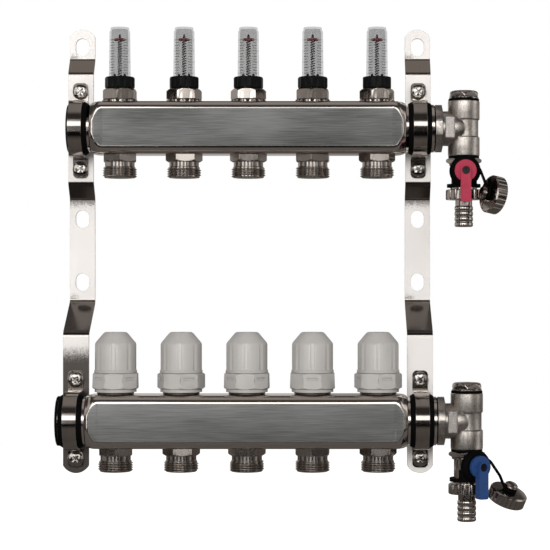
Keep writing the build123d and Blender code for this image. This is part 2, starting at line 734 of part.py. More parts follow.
def end_tee(turn):
    """A tee with a spigot and hexagon towards the bar, and a threaded port above and below."""
    half = TUBE_HALF_HEIGHT
    waist = WAIST_HALF_HEIGHT
    slope = TUBE_RADIUS - WAIST_RADIUS
    tube = turned(
        [
            (0, -half),
            (TUBE_RADIUS - 0.5, -half),
            (TUBE_RADIUS, 0.5 - half),
            (TUBE_RADIUS, -waist - slope),
            (WAIST_RADIUS, -waist),
            (WAIST_RADIUS, waist),
            (TUBE_RADIUS, waist + slope),
            (TUBE_RADIUS, half - 0.5),
            (TUBE_RADIUS - 0.5, half),
            (0, half),
        ]
    )
    seal_face = NECK_END - TUBE_X
    hex_near = seal_face + NECK_SEAL_THICK
    hex_far = hex_near + TEE_HEX_WIDTH
    branch = turned(
        [
            (0, hex_far),
            (BRANCH_RADIUS, hex_far),
            (BRANCH_NOSE_RADIUS, 0),
            (BRANCH_NOSE_RADIUS - 1.6, 1.6),
            (0, 1.6),
        ]
    )
    tee = tube + along_x(branch)
    hexagon = RegularPolygon(TEE_HEX_FLATS / 2, 6, major_radius=False)
    flats = Pos(0, 0, hex_near) * extrude(hexagon, TEE_HEX_WIDTH)
    rim = TEE_HEX_RADIUS
    flats &= turned([(0, hex_near), (rim, hex_near), (rim, hex_far - 0.9), (rim - 4, hex_far), (0, hex_far)])
    tee += along_x(Rot(0, 0, turn) * flats)
    spigot = INLET_RADIUS - RUNNING
    tee += along_x(rod(spigot, seal_face - SPIGOT_LENGTH, hex_near))
    pad = block((PAD_WIDTH, PAD_REACH, PAD_HEIGHT), (hex_far + PAD_WIDTH / 2 + 1.2, -PAD_REACH / 2, 0))
    pad = fillet(pad.edges().filter_by(Axis.Y), PAD_CORNER)
    tee += pad
    tee -= along_x(rod(BRANCH_BORE, seal_face - SPIGOT_LENGTH, 0))
    tee -= rod(TEE_BORE, -half, half)
    tee -= rod(PORT_THREAD_RADIUS, half - PORT_THREAD_DEPTH, half)
    tee -= rod(PORT_THREAD_RADIUS, -half, PORT_THREAD_DEPTH - half)
    return tee


def vent_plug():
    """A hexagon plug in the tee's upper port, bored for the bleed screw."""
    seat = TUBE_HALF_HEIGHT + SEAL_THICK
    top = seat + PLUG_HEX_HEIGHT
    foot = TUBE_HALF_HEIGHT - PORT_THREAD_DEPTH + FREE
    plug = Rot(0, 0, PLUG_TURN) * bevelled_hex(PLUG_FLATS, seat, top)
    plug += rod(PORT_THREAD_RADIUS - RUNNING, foot, seat)
    plug -= rod(BLEED_RADIUS + RUNNING, top - BLEED_LENGTH - FREE, top)
    plug -= rod(BLEED_RADIUS / 2, foot, top)
    return plug


def bleed_screw():
    """The slotted screw in the middle of a vent plug."""
    top = TUBE_HALF_HEIGHT + SEAL_THICK + PLUG_HEX_HEIGHT - 0.4
    screw = rod(BLEED_RADIUS, top - BLEED_LENGTH + 0.4, top)
    return screw - block((2.5 * BLEED_RADIUS, BLEED_SLOT, 2.4), (0, 0, top))


def flat_ring(inner, outer, low, high):
    """A flat-sided ring between two heights."""
    return rod(outer, low, high) - rod(inner, low, high)


def locknut():
    """A thin hexagon nut under the tee that fixes the drain valve's direction."""
    nut = bevelled_hex(LOCKNUT_FLATS, -LOCKNUT_BOTTOM, -SEAL_BOTTOM)
    return nut - rod(PORT_THREAD_RADIUS, -LOCKNUT_BOTTOM, -SEAL_BOTTOM)


def drain_body():
    """A drain ball valve's body, with a stem boss to the front and a threaded outlet below."""
    thread = PORT_THREAD_RADIUS - RUNNING
    top = PORT_THREAD_DEPTH - TUBE_HALF_HEIGHT - FREE
    flange = -(LOCKNUT_BOTTOM + SEAT_GAP)
    body = turned(
        [
            (0, -OUTLET_BOTTOM),
            (OUTLET_THREAD_RADIUS, -OUTLET_BOTTOM),
            (OUTLET_THREAD_RADIUS, -OUTLET_TOP),
            (DRAIN_BARREL_RADIUS, -OUTLET_TOP),
            (DRAIN_BARREL_RADIUS, -FLANGE_BOTTOM),
            (DRAIN_FLANGE_RADIUS, -FLANGE_BOTTOM),
            (DRAIN_FLANGE_RADIUS, flange),
            (thread, flange),
            (thread, top),
            (0, top),
        ]
    )
    stem = Pos(0, 0, -STEM_DROP)
    body += stem * to_front(rod(BOSS_RADIUS, 0, BOSS_REACH))
    body -= rod(DRAIN_BORE, -OUTLET_BOTTOM, top)
    body -= stem * Sphere(BALL_RADIUS + FREE)
    body -= stem * to_front(rod(STEM_RADIUS + RUNNING, 0, BOSS_REACH))
    return body


def drain_ball():
    """The bored ball, flat and slotted in front for the stem's tongue."""
    ball = Sphere(BALL_RADIUS) - rod(DRAIN_BORE, -BALL_RADIUS, BALL_RADIUS)
    ball -= block((BALL_RADIUS * 2, 2, BALL_RADIUS * 2), (0, -BALL_FLAT - 1, 0))
    ball -= block((STEM_TONGUE + 2 * RUNNING, 2.4, BALL_RADIUS * 2), (0, -BALL_FLAT + 0.6, 0))
    return Pos(0, 0, -STEM_DROP) * ball


def drain_stem():
    """The stem: a tongue in the ball, a round shank in the boss and a square for the lever."""
    shank_foot = BALL_FLAT + RUNNING
    shank_top = LEVER_BACK - RUNNING
    square_top = LEVER_BACK + LEVER_THICK - LEVER_RECESS_DEPTH - RUNNING
    stem = rod(STEM_RADIUS, shank_foot, shank_top)
    stem += block((STEM_TONGUE, 2 * STEM_RADIUS - 1.6, 1), (0, 0, shank_foot - 0.5))
    stem += block((STEM_SQUARE, STEM_SQUARE, square_top - shank_top), (0, 0, (square_top + shank_top) / 2))
    return Pos(0, 0, -STEM_DROP) * to_front(stem)


def lever():
    """The plastic lever: a round head, with a raised arm that points down when the valve is open."""
    top = LEVER_BACK + LEVER_THICK
    grip = rod(LEVER_HEAD_RADIUS, LEVER_BACK, LEVER_BACK + LEVER_HEAD_THICK)
    back = LEVER_BACK + 1
    grip += rod(LEVER_ARM_WIDTH / 2, back, top)
    arm = (LEVER_ARM_WIDTH, LEVER_LENGTH, top - back)
    grip += block(arm, (0, -LEVER_LENGTH / 2, (top + back) / 2))
    tips = [e for e in grip.edges().filter_by(Axis.Z) if abs(e.center().Y + LEVER_LENGTH) < RUNNING]
    grip = fillet(tips, 1.4)
    grip -= rod(LEVER_RECESS_RADIUS, top - LEVER_RECESS_DEPTH, top)
    square = STEM_SQUARE + 2 * RUNNING
    grip -= block((square, square, 2 * LEVER_THICK), (0, 0, LEVER_BACK))
    return Pos(0, 0, -STEM_DROP) * to_front(grip)


def lever_screw():
    """The small screw in the lever's recess that holds it on the stem."""
    floor = LEVER_BACK + LEVER_THICK - LEVER_RECESS_DEPTH
    screw = rod(LEVER_SCREW_RADIUS, floor, floor + 1.5)
    screw -= block((3.4, 0.8, 1.4), (0, 0, floor + 1.5))
    screw -= block((0.8, 3.4, 1.4), (0, 0, floor + 1.5))
    return Pos(0, 0, -STEM_DROP) * to_front(screw)


def union_nut():
    """The ridged nut that holds the hose tail on the valve's outlet."""
    thread = OUTLET_THREAD_RADIUS + RUNNING
    nut = turned(
        [
            (thread, -UNION_DROP),
            (UNION_RADIUS - 0.6, -UNION_DROP),
            (UNION_RADIUS, -UNION_DROP - 0.6),
            (UNION_RADIUS, -UNION_BOTTOM + 0.6),
            (UNION_RADIUS - 0.6, -UNION_BOTTOM),
            (TAIL_RADIUS + FREE, -UNION_BOTTOM),
            (TAIL_RADIUS + FREE, -UNION_LIP_TOP),
            (thread, -UNION_LIP_TOP),
        ]
    )
    return ridged(nut, UNION_RADIUS, UNION_RIDGES, -UNION_BOTTOM, -UNION_DROP)


def hose_tail():
    """A hose tail with a flange inside the nut and rounded barbs below it."""
    flange = -UNION_LIP_TOP + TAIL_FLANGE_THICK
    foot = -UNION_BOTTOM - TAIL_LENGTH
    points = [(TAIL_BORE, foot), (BARB_RADIUS - 0.9, foot)]
    pitch = (TAIL_LENGTH - 4.5) / BARBS
    for i in range(BARBS):
        low = foot + 0.9 + i * pitch
        points += [(BARB_RADIUS, low), (BARB_RADIUS, low + 0.5 * pitch), (TAIL_RADIUS, low + 0.75 * pitch)]
    points += [(TAIL_RADIUS, -UNION_LIP_TOP), (TAIL_FLANGE_RADIUS, -UNION_LIP_TOP)]
    points += [(TAIL_FLANGE_RADIUS, flange), (TAIL_BORE, flange)]
    return turned(points)


def hose_cap():
    """A ridged cap about its own centre, closed above and with a knob for the strap."""
    half = CAP_HEIGHT / 2
    roof = half - CAP_WALL
    neck = half + CAP_NECK_HEIGHT
    knob = neck + CAP_KNOB_HEIGHT
    cap = turned(
        [
            (CAP_RADIUS - CAP_WALL, -half),
            (CAP_RADIUS - 0.5, -half),
            (CAP_RADIUS, 0.5 - half),
            (CAP_RADIUS, half - 1),
            (CAP_RADIUS - 1, half),
            (CAP_NECK_RADIUS, half),
            (CAP_NECK_RADIUS, neck),
            (CAP_KNOB_RADIUS, neck + 0.6),
            (CAP_KNOB_RADIUS, knob - 1),
            (CAP_KNOB_RADIUS - 1.2, knob),
            (0, knob),
            (0, roof),
            (CAP_RADIUS - CAP_WALL, roof),
        ]
    )
    return ridged(cap, CAP_RADIUS, CAP_RIDGES, -half, half - 1)


def cap_plane(centre, axis):
    """The plane through a cap's centre whose normal is the cap's axis."""
    return Plane(origin=centre, z_dir=axis)


def cap_strap(swivel, centre, axis, bends):
    """The black moulding: a disc round the stem boss, a web, a ring round the outlet and a tail."""
    hole = BOSS_RADIUS + FREE
    front = STRAP_DISC_BACK + STRAP_DISC_THICK
    disc = turned(
        [
            (hole, STRAP_DISC_BACK),
            (STRAP_DISC_RADIUS, STRAP_DISC_BACK),
            (STRAP_DISC_RADIUS, front - 2),
            (STRAP_DISC_RADIUS - 2, front),
            (hole, front),
        ]
    )
    inner = DRAIN_BARREL_RADIUS + FREE
    web = turned(
        [
            (inner, -STRAP_RING_TOP - 1),
            (STRAP_RING_RADIUS, -STRAP_RING_TOP - 1),
            (inner + 2 * STRAP_WEB_THICK, -STRAP_WEB_TOP),
            (inner, -STRAP_WEB_TOP),
        ]
    )
    reach = 2 * UNION_RADIUS
    web &= block((STRAP_DISC_RADIUS * 1.6, reach, reach), (0, -UNION_RADIUS - 4, -STRAP_RING_TOP))
    low = -STRAP_RING_TOP - STRAP_RING_THICK
    ring = flat_ring(inner, STRAP_RING_RADIUS, low, -STRAP_RING_TOP)
    stem = Pos(0, 0, -STEM_DROP)
    moulding = Rot(0, 0, swivel) * (stem * to_front(disc) + web + ring)
    moulding -= Rot(0, 0, swivel) * stem * to_front(rod(hole, 0, front))
    moulding -= rod(LOCKNUT_FLATS / sqrt(3) + FREE, -FLANGE_BOTTOM - FREE, 0)

    neck_middle = CAP_HEIGHT / 2 + CAP_NECK_HEIGHT / 2
    loop_radius = CAP_NECK_RADIUS + FREE + STRAP_LOOP_WIDTH
    half = STRAP_LOOP_THICK / 2
    loop = flat_ring(CAP_NECK_RADIUS + FREE, loop_radius, neck_middle - half, neck_middle + half)
    plane = cap_plane(centre, axis)
    neck = Vector(*centre) + plane.z_dir * neck_middle
    towards = (Vector(*bends[-1]) - neck).normalized()
    along = (towards - plane.z_dir * towards.dot(plane.z_dir)).normalized()
    end = neck + along * (loop_radius - 0.6)
    path = FilletPolyline([*bends, tuple(end)], radius=8)
    tail = sweep(Plane(origin=path @ 0, z_dir=path % 0) * Circle(STRAP_RADIUS), path)
    return moulding + tail + plane.location * loop


# Assembly


def write(name, *solids):
    """Writes one node, which may hold several separate solids."""
    node = solids[0] if len(solids) == 1 else Compound(children=list(solids))
    export_step(node, f"parts/{name}.step")


def on_bar(bar, x, solid):
    """Places a solid that was made about a bar's axis."""
    y, z = BARS[bar]
    return Pos(x, y, z) * solid


os.makedirs("parts", exist_ok=True)

brackets = {"left": 0, "right": BRACKET_PITCH}
for side, x in brackets.items():
    write(f"{side}_bracket", Pos(x, 0, 0) * strip_bracket())

places = [(bar, x) for bar in BARS for x in brackets.values()]
write("clamp_bands", *[on_bar(bar, x, clamp_band()) for bar, x in places])
write("clamp_liners", *[on_bar(bar, x, clamp_liner()) for bar, x in places])
head_seat = SHAFT_STANDOFF - BAND_THICK
screws = [
    on_bar(bar, x, Pos(0, head_seat, side * SCREW_REACH) * clamp_screw())
    for bar, x in places
    for side in (-1, 1)
]
write("clamp_screws", *screws)

for bar in BARS:
    write(f"{bar}_bar", on_bar(bar, CENTRE_X, hollow_bar()))

nipples = [
    on_bar(bar, circuit_x(i), outlet_nipple(NIPPLE_TURNS[i % len(NIPPLE_TURNS)]))
    for bar in BARS
    for i in range(CIRCUITS)
]
write("outlet_nipples", *nipples)
meters = [
    on_bar("supply", circuit_x(i), meter_body(METER_TURNS[i % len(METER_TURNS)]))
    for i in range(CIRCUITS)
]
write("flow_meter_bodies", *meters)
write("flow_glasses", *[on_bar("supply", circuit_x(i), flow_glass()) for i in range(CIRCUITS)])
write("valve_inserts", *[on_bar("return", circuit_x(i), valve_insert()) for i in range(CIRCUITS)])
rings = [on_bar("return", circuit_x(i), cap_ring(RING_TURNS[i % len(RING_TURNS)])) for i in range(CIRCUITS)]
write("valve_cap_rings", *rings)

for i in range(CIRCUITS):
    x = circuit_x(i)
    write(f"flow_collar_{i + 1}", on_bar("supply", x, flow_collar(COLLAR_TURNS[i % len(COLLAR_TURNS)])))
    write(f"flow_indicator_{i + 1}", on_bar("supply", x, flow_indicator()))
    write(f"flow_spring_{i + 1}", on_bar("supply", x, flow_spring()))
    write(f"valve_knob_{i + 1}", on_bar("return", x, valve_knob()))
    write(f"valve_spindle_{i + 1}", on_bar("return", x, valve_spindle()))

end_x = CENTRE_X + TUBE_X
caps = {
    "supply": (SUPPLY_CAP_CENTRE, SUPPLY_CAP_AXIS, SUPPLY_STRAP_BENDS),
    "return": (RETURN_CAP_CENTRE, RETURN_CAP_AXIS, RETURN_STRAP_BENDS),
}
seals = []
nuts = []
plugs = []
for bar in BARS:
    swivel = Rot(0, 0, SWIVELS[bar])
    centre, axis, bends = caps[bar]
    write(f"{bar}_tee", on_bar(bar, end_x, end_tee(TEE_HEX_TURNS[bar])))
    write(f"{bar}_bleed_screw", on_bar(bar, end_x, bleed_screw()))
    write(f"{bar}_drain_body", on_bar(bar, end_x, swivel * drain_body()))
    write(f"{bar}_drain_ball", on_bar(bar, end_x, swivel * drain_ball()))
    write(f"{bar}_drain_stem", on_bar(bar, end_x, swivel * drain_stem()))
    write(f"{bar}_lever", on_bar(bar, end_x, swivel * lever()))
    write(f"{bar}_lever_screw", on_bar(bar, end_x, swivel * lever_screw()))
    write(f"{bar}_hose_tail", on_bar(bar, end_x, hose_tail()))
    write(f"{bar}_hose_cap", on_bar(bar, end_x, cap_plane(centre, axis).location * hose_cap()))
    write(f"{bar}_cap_strap", on_bar(bar, end_x, cap_strap(SWIVELS[bar], centre, axis, bends)))
    plugs.append(on_bar(bar, end_x, vent_plug()))
    nuts.append(on_bar(bar, end_x, locknut()))
    nuts.append(on_bar(bar, end_x, union_nut()))
    neck_ring = along_x(flat_ring(INLET_RADIUS, NECK_RADIUS - 0.9, NECK_END, NECK_END + NECK_SEAL_THICK))
    seals.append(on_bar(bar, CENTRE_X, neck_ring))
    for low in (TUBE_HALF_HEIGHT, -SEAL_BOTTOM):
        ring = flat_ring(PORT_THREAD_RADIUS, SEAL_RADIUS, low, low + SEAL_THICK)
        seals.append(on_bar(bar, end_x, ring))
    gasket_low = -UNION_LIP_TOP + TAIL_FLANGE_THICK
    gasket = flat_ring(TAIL_BORE, TAIL_FLANGE_RADIUS, gasket_low, gasket_low + GASKET_THICK)
    seals.append(on_bar(bar, end_x, gasket))
write("vent_plugs", *plugs)
write("drain_nuts", *nuts)
write("seal_rings", *seals)
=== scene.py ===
from math import atan2, cos, degrees, hypot, pi, radians, sin

import bmesh
import bpy
from mathutils import Matrix, Vector


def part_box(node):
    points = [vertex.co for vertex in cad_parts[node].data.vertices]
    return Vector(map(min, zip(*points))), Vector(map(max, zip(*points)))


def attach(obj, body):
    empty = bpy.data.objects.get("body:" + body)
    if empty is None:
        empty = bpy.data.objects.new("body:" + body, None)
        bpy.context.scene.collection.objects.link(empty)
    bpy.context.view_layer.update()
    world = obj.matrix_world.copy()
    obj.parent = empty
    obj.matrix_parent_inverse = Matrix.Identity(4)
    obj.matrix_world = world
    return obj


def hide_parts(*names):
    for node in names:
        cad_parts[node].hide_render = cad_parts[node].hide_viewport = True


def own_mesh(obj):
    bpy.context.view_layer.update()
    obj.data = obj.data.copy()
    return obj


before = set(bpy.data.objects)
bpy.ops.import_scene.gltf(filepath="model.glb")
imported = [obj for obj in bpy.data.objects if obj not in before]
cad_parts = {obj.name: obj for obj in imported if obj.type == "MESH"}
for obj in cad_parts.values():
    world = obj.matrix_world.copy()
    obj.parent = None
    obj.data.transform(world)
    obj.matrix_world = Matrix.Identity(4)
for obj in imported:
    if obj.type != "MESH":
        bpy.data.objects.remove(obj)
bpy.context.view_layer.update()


# The studio: a camera level with the middle of the manifold, a pale floor below it and soft lamps.
# The world is a white backdrop. What metal sees of it is a dim room with a window and tall lamps
# about the camera, as in a photographer's tent.


class Tone:
    """A node's output, on which Python's sums add Math nodes."""

    def __init__(self, finish, socket):
        self.finish = finish
        self.socket = socket

    def math(self, operation, *terms):
        return self.finish.node("ShaderNodeMath", {"operation": operation}, dict(enumerate(terms)))

    def __add__(self, other):
        return self.math("ADD", self, other)

    def __sub__(self, other):
        return self.math("SUBTRACT", self, other)

    def __rsub__(self, other):
        return self.math("SUBTRACT", other, self)

    def __mul__(self, other):
        return self.math("MULTIPLY", self, other)

    def __truediv__(self, other):
        return self.math("DIVIDE", self, other)

    __radd__ = __add__
    __rmul__ = __mul__


class Finish:
    """A material's node tree, and the one method that adds nodes to it."""

    def __init__(self, tree):
        self.tree = tree
        tree.nodes.clear()

    def node(self, kind, settings=None, values=None, output=0):
        made = self.tree.nodes.new(kind)
        for name, value in (settings or {}).items():
            if name == "stops":
                while len(made.color_ramp.elements) < len(value):
                    made.color_ramp.elements.new(0.5)
                for stop, (place, colour) in zip(made.color_ramp.elements, value):
                    stop.position = place
                    stop.color = (*colour, 1)
            else:
                setattr(made, name, value)
        for name, value in (values or {}).items():
            if isinstance(value, Tone):
                self.tree.links.new(value.socket, made.inputs[name])
            else:
                made.inputs[name].default_value = value
        return Tone(self, made.outputs[output]) if made.outputs else None

    def split(self, vector):
        parts = self.node("ShaderNodeSeparateXYZ", None, {0: vector}).socket.node
        return [Tone(self, part) for part in parts.outputs]

    def step(self, value, low, high, start=0.0, end=1.0):
        """A soft step of a value between two limits."""
        limits = {"Value": value, "From Min": low, "From Max": high, "To Min": start, "To Max": end}
        return self.node("ShaderNodeMapRange", {"interpolation_type": "SMOOTHSTEP"}, limits)

    def blend(self, share, first, second):
        """A colour between two others."""
        values = {0: share, 6: first, 7: second}
        return self.node("ShaderNodeMix", {"data_type": "RGBA"}, values, 2)


camera_data = bpy.data.cameras.new("camera")
camera_data.lens = 123.4
camera_data.shift_x = -0.0849
camera_data.shift_y = 0.0028
camera = bpy.data.objects.new("camera", camera_data)
camera.location = (0.19, -1.5, -0.0205)
camera.rotation_euler = (radians(90), 0, 0)
bpy.context.scene.collection.objects.link(camera)
bpy.context.scene.camera = camera
bpy.context.scene.view_settings.view_transform = "Standard"

world = bpy.data.worlds.new("white_tent")
world.use_nodes = True
bpy.context.scene.world = world
tent = Finish(world.node_tree)
x, y, z = tent.split(tent.node("ShaderNodeTexCoord"))
round_room = x.math("ARCTAN2", x, y * -1)


def upright(left, left_full, right_full, right):
    """A soft-edged stripe between two angles round the room, in radians from the camera's side."""
    return tent.step(round_room, left, left_full) * tent.step(round_room, right, right_full)


# A low wide window above the camera, tall stripes beside it and lamps further round the room
window = tent.step(z, 0.11, 0.16) * tent.step(z, 0.44, 0.37) * upright(-0.6, -0.45, 0.3, 0.45)
left_side = tent.step(round_room, -1.1, -1.4) * tent.step(z, -0.2, 0.0) * tent.step(z, 0.5, 0.35)
stripes = upright(-0.36, -0.3, -0.17, -0.14) + upright(0.13, 0.17, 0.27, 0.32)
stripes = stripes * tent.step(z, -0.6, -0.45) * tent.step(z, 0.6, 0.45)
left_lamp = upright(-0.84, -0.78, -0.66, -0.6)
right_lamp = upright(0.5, 0.56, 0.64, 0.7)
wide_lamp = upright(1.2, 1.3, 1.65, 1.8)
lamps = left_lamp * 1.9 + right_lamp * 0.9 + wide_lamp * 0.7 + stripes * 1.8
lamps = lamps * tent.step(z, 0.7, 0.5) * tent.step(z, -0.7, -0.5)
lights = window * 2.5 + left_side * 0.25 + lamps

# A dim room, darkest at the camera's height and just above the window
dark_gap = tent.step(z, -0.5, -0.4) * tent.step(z, 0.11, 0.08) * upright(-1.3, -1.0, 0.75, 1.0)
ceiling = tent.step(z, 0.42, 0.5) * tent.step(z, 0.96, 0.8)
room = tent.step(z, -0.6, 0.2, 0.12, 0.34) * (1 - dark_gap * 0.9) * (1 - ceiling * 0.85)
seen = tent.blend(tent.step(lights, 0, 1), (0.95, 0.88, 0.84, 1), (1, 0.99, 0.97, 1))
path = tent.node("ShaderNodeLightPath").socket.node
camera_ray = Tone(tent, path.outputs["Is Camera Ray"])
glossy_ray = Tone(tent, path.outputs["Is Glossy Ray"])
through_ray = Tone(tent, path.outputs["Is Transmission Ray"])
white = camera_ray + through_ray
strength = tent.step(white, 0, 1) + (1 - tent.step(white, 0, 1)) * (
    glossy_ray * (lights + room) + (1 - glossy_ray) * 0.4
)
colour = tent.blend(glossy_ray, (1, 1, 1, 1), seen)
background = tent.node("ShaderNodeBackground", None, {"Color": colour, "Strength": strength})
tent.node("ShaderNodeOutputWorld", None, {"Surface": background})

bm = bmesh.new()
bmesh.ops.create_grid(bm, x_segments=1, y_segments=1, size=1.6, matrix=Matrix.Translation((0.16, 0, -0.3)))
floor_mesh = bpy.data.meshes.new("floor")
bm.to_mesh(floor_mesh)
bm.free()
floor = bpy.data.objects.new("floor", floor_mesh)
bpy.context.scene.collection.objects.link(floor)
pale = bpy.data.materials.new("pale_floor")
pale.use_nodes = True
paint = Finish(pale.node_tree)
path = paint.node("ShaderNodeLightPath").socket.node
shown_white = Tone(paint, path.outputs["Is Camera Ray"]) + Tone(paint, path.outputs["Is Transmission Ray"])
mirrored = Tone(paint, path.outputs["Is Glossy Ray"])
depth = paint.split(paint.node("ShaderNodeTexCoord", None, None, "Object"))[1]
dim = paint.blend(paint.step(depth, -0.75, -0.3), (0.004, 0.004, 0.004, 1), (0.13, 0.118, 0.11, 1))
shade = paint.blend(mirrored, (0.62, 0.6, 0.58, 1), dim)
matt = paint.node("ShaderNodeBsdfDiffuse", None, {"Color": shade})
glow = paint.node("ShaderNodeEmission", None, {"Color": (1, 1, 1, 1), "Strength": shown_white * 0.75})
both = paint.node("ShaderNodeAddShader", None, {0: matt, 1: glow})
paint.node("ShaderNodeOutputMaterial", None, {"Surface": both})
floor_mesh.materials.append(pale)

aim = Vector((0.13, -0.05, 0))
for name, place, size, power in (
    ("key_lamp", (-0.1, -1.7, 0.4), 0.7, 28),
    ("fill_lamp", (1.2, -1.1, 1.1), 0.8, 8),
    ("top_lamp", (0.1, 0.6, 1.5), 0.9, 8),
):
    lamp_data = bpy.data.lights.new(name, "AREA")
    lamp_data.size = size
    lamp_data.energy = power
    lamp = bpy.data.objects.new(name, lamp_data)
    lamp.location = place
    lamp.visible_glossy = False
    lamp.rotation_mode = "QUATERNION"
    lamp.rotation_quaternion = (aim - Vector(place)).to_track_quat("-Z", "Y")
    bpy.context.scene.collection.objects.link(lamp)


# Two wall brackets. Each is one strip of polished stainless steel, punched for wall screws and clamp
# screws and cranked forward twice so that the bars stand clear of the wall and of each other.

MM = 0.001
bracket_spacing = 0.266


def surface(name, build, metallic=0.0, **fixed):
    """A Principled material. Its varying sockets come from build, and the rest are fixed numbers."""
    material = bpy.data.materials.new(name)
    material.use_nodes = True
    finish = Finish(material.node_tree)
    place = finish.node("ShaderNodeTexCoord", None, None, "Object")
    values = {"Metallic": metallic, **fixed, **build(finish, place)}
    shader = finish.node("ShaderNodeBsdfPrincipled", None, values)
    finish.node("ShaderNodeOutputMaterial", None, {"Surface": shader})
    return material


def grain(finish, place, size, stretch=(1, 1, 1), detail=3.0):
    """Noise whose lumps are about one size, in millimetres, and may be drawn out along an axis."""
    scale = [1 / (size * MM * s) for s in stretch]
    drawn = finish.node("ShaderNodeMapping", None, {"Vector": place, "Scale": scale})
    return finish.node("ShaderNodeTexNoise", None, {"Vector": drawn, "Scale": 1.0, "Detail": detail})


def raised(finish, height, distance, strength=1.0):
    """A bump of a height, in millimetres."""
    values = {"Height": height, "Distance": distance * MM, "Strength": strength}
    return finish.node("ShaderNodeBump", None, values)


def rounded(made, width, segments=2):
    """Rounds a piece's sharp edges by a width in millimetres."""
    bevel = made.modifiers.new("soft_edges", "BEVEL")
    bevel.width = width * MM
    bevel.segments = segments
    bevel.limit_method = "ANGLE"
    bevel.angle_limit = radians(32)
    bevel.harden_normals = True
    return made


def from_cad(node, name, material, body, edge=0.0, segments=2):
    """A merged copy of a CAD node with rounded edges, which stands for the node."""
    bm = bmesh.new()
    bm.from_mesh(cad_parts[node].data)
    bmesh.ops.remove_doubles(bm, verts=bm.verts, dist=0.002 * MM)
    bmesh.ops.dissolve_limit(bm, angle_limit=radians(1), verts=bm.verts, edges=bm.edges)
    made = piece(bm, name, material, body)
    if edge:
        rounded(made, edge, segments)
    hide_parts(node)
    return made


def piece(bm, name, material, body, sharp=32):
    """Makes a bmesh into an object that rides on a body, smooth except along its sharp edges."""
    for face in bm.faces:
        face.smooth = True
    mesh = bpy.data.meshes.new(name)
    bm.to_mesh(mesh)
    bm.free()
    mesh.set_sharp_from_angle(angle=radians(sharp))
    mesh.materials.append(material)
    made = bpy.data.objects.new(name, mesh)
    bpy.context.scene.collection.objects.link(made)
    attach(made, body)
    return made


def polished_strip(finish, place):
    """Flats painted bright and nearly matt, and bends painted darker, for the light and dark they reflect. A
    ragged painted dark reflection lies on the left foot, and ragged painted shade beside the bends and at the
    top eye.
    """
    out = finish.split(finish.node("ShaderNodeNewGeometry", None, None, "Normal"))[1]
    along, depth, height = finish.split(place)
    flat = finish.step(out.math("ABSOLUTE", out), 0.985, 0.999)
    haze = grain(finish, place, 40, detail=2)
    scuffs = grain(finish, place, 0.6, (1, 1, 18))
    speckle = grain(finish, place, 1.1, detail=5)
    ragged = height + (speckle - 0.5) * 0.016
    # Painted dark reflection: a ragged darker patch on the left bracket's foot.
    painted_dark_foot = finish.step(ragged, -0.072, -0.087) * finish.step(along, 0.1, 0.09)
    # Painted shade: ragged dark patches below the middle bend, and along the strips' left edges above the
    # lower bend and at the top eye.
    below_middle_bend = finish.step(ragged, 0.033, 0.04) * finish.step(height, 0.05, 0.045)
    above_lower_bend = finish.step(ragged, -0.034, -0.04) * finish.step(height, -0.05, -0.045)
    at_eye = finish.step(ragged, 0.158, 0.152) * finish.step(height, 0.145, 0.15)
    in_strip = along.math("PINGPONG", along + 0.01, bracket_spacing / 2)
    left_edge = finish.step(in_strip, 0.009, 0.004)
    painted_shade = below_middle_bend + (above_lower_bend + at_eye) * left_edge
    # Painted reflection: the flats are a bright, nearly matt colour for the white they face, except where
    # painted shade lies.
    light = flat * (1 - painted_dark_foot) * (1 - painted_shade * 0.75)
    bright = finish.blend(haze, (0.56, 0.532, 0.51, 1), (0.65, 0.625, 0.6, 1))
    # Painted reflection: the bends are darker than the flats, the lower and middle ones darkest, for the dark
    # floor and room they face. On the flats this dark colour is what the painted shade shows.
    lower_bend = finish.step(height, -0.0665, -0.0645) * finish.step(height, -0.04, -0.042)
    middle_bend = finish.step(height, 0.0405, 0.0425) * finish.step(height, 0.0545, 0.0525)
    dark = finish.blend(lower_bend, (0.42, 0.375, 0.34, 1), (0.15, 0.133, 0.123, 1))
    dark = finish.blend(middle_bend, dark, (0.1, 0.09, 0.083, 1))
    dark = finish.blend(flat, dark, (0.11, 0.099, 0.092, 1))
    return {
        "Base Color": finish.blend(light, dark, bright),
        "Metallic": 1 - light * 0.94,
        "Roughness": 0.1 + flat * 0.18 + haze * 0.05 + scuffs * 0.05,
        "Normal": raised(finish, haze + scuffs * 0.03, 0.05, 0.3),
    }


strip_steel = surface("polished_strip_steel", polished_strip, 1.0)
for side in ("left", "right"):
    bracket = from_cad(f"{side}_bracket", f"{side}_wall_bracket", strip_steel, "manifold", 0.5)


# The supply bar above and the return bar below. Each is a square stainless tube with its ends drawn
# in to round necks, the supply bar's left one cut shorter. The front is brushed along its length,
# and the rounded edges are polished.


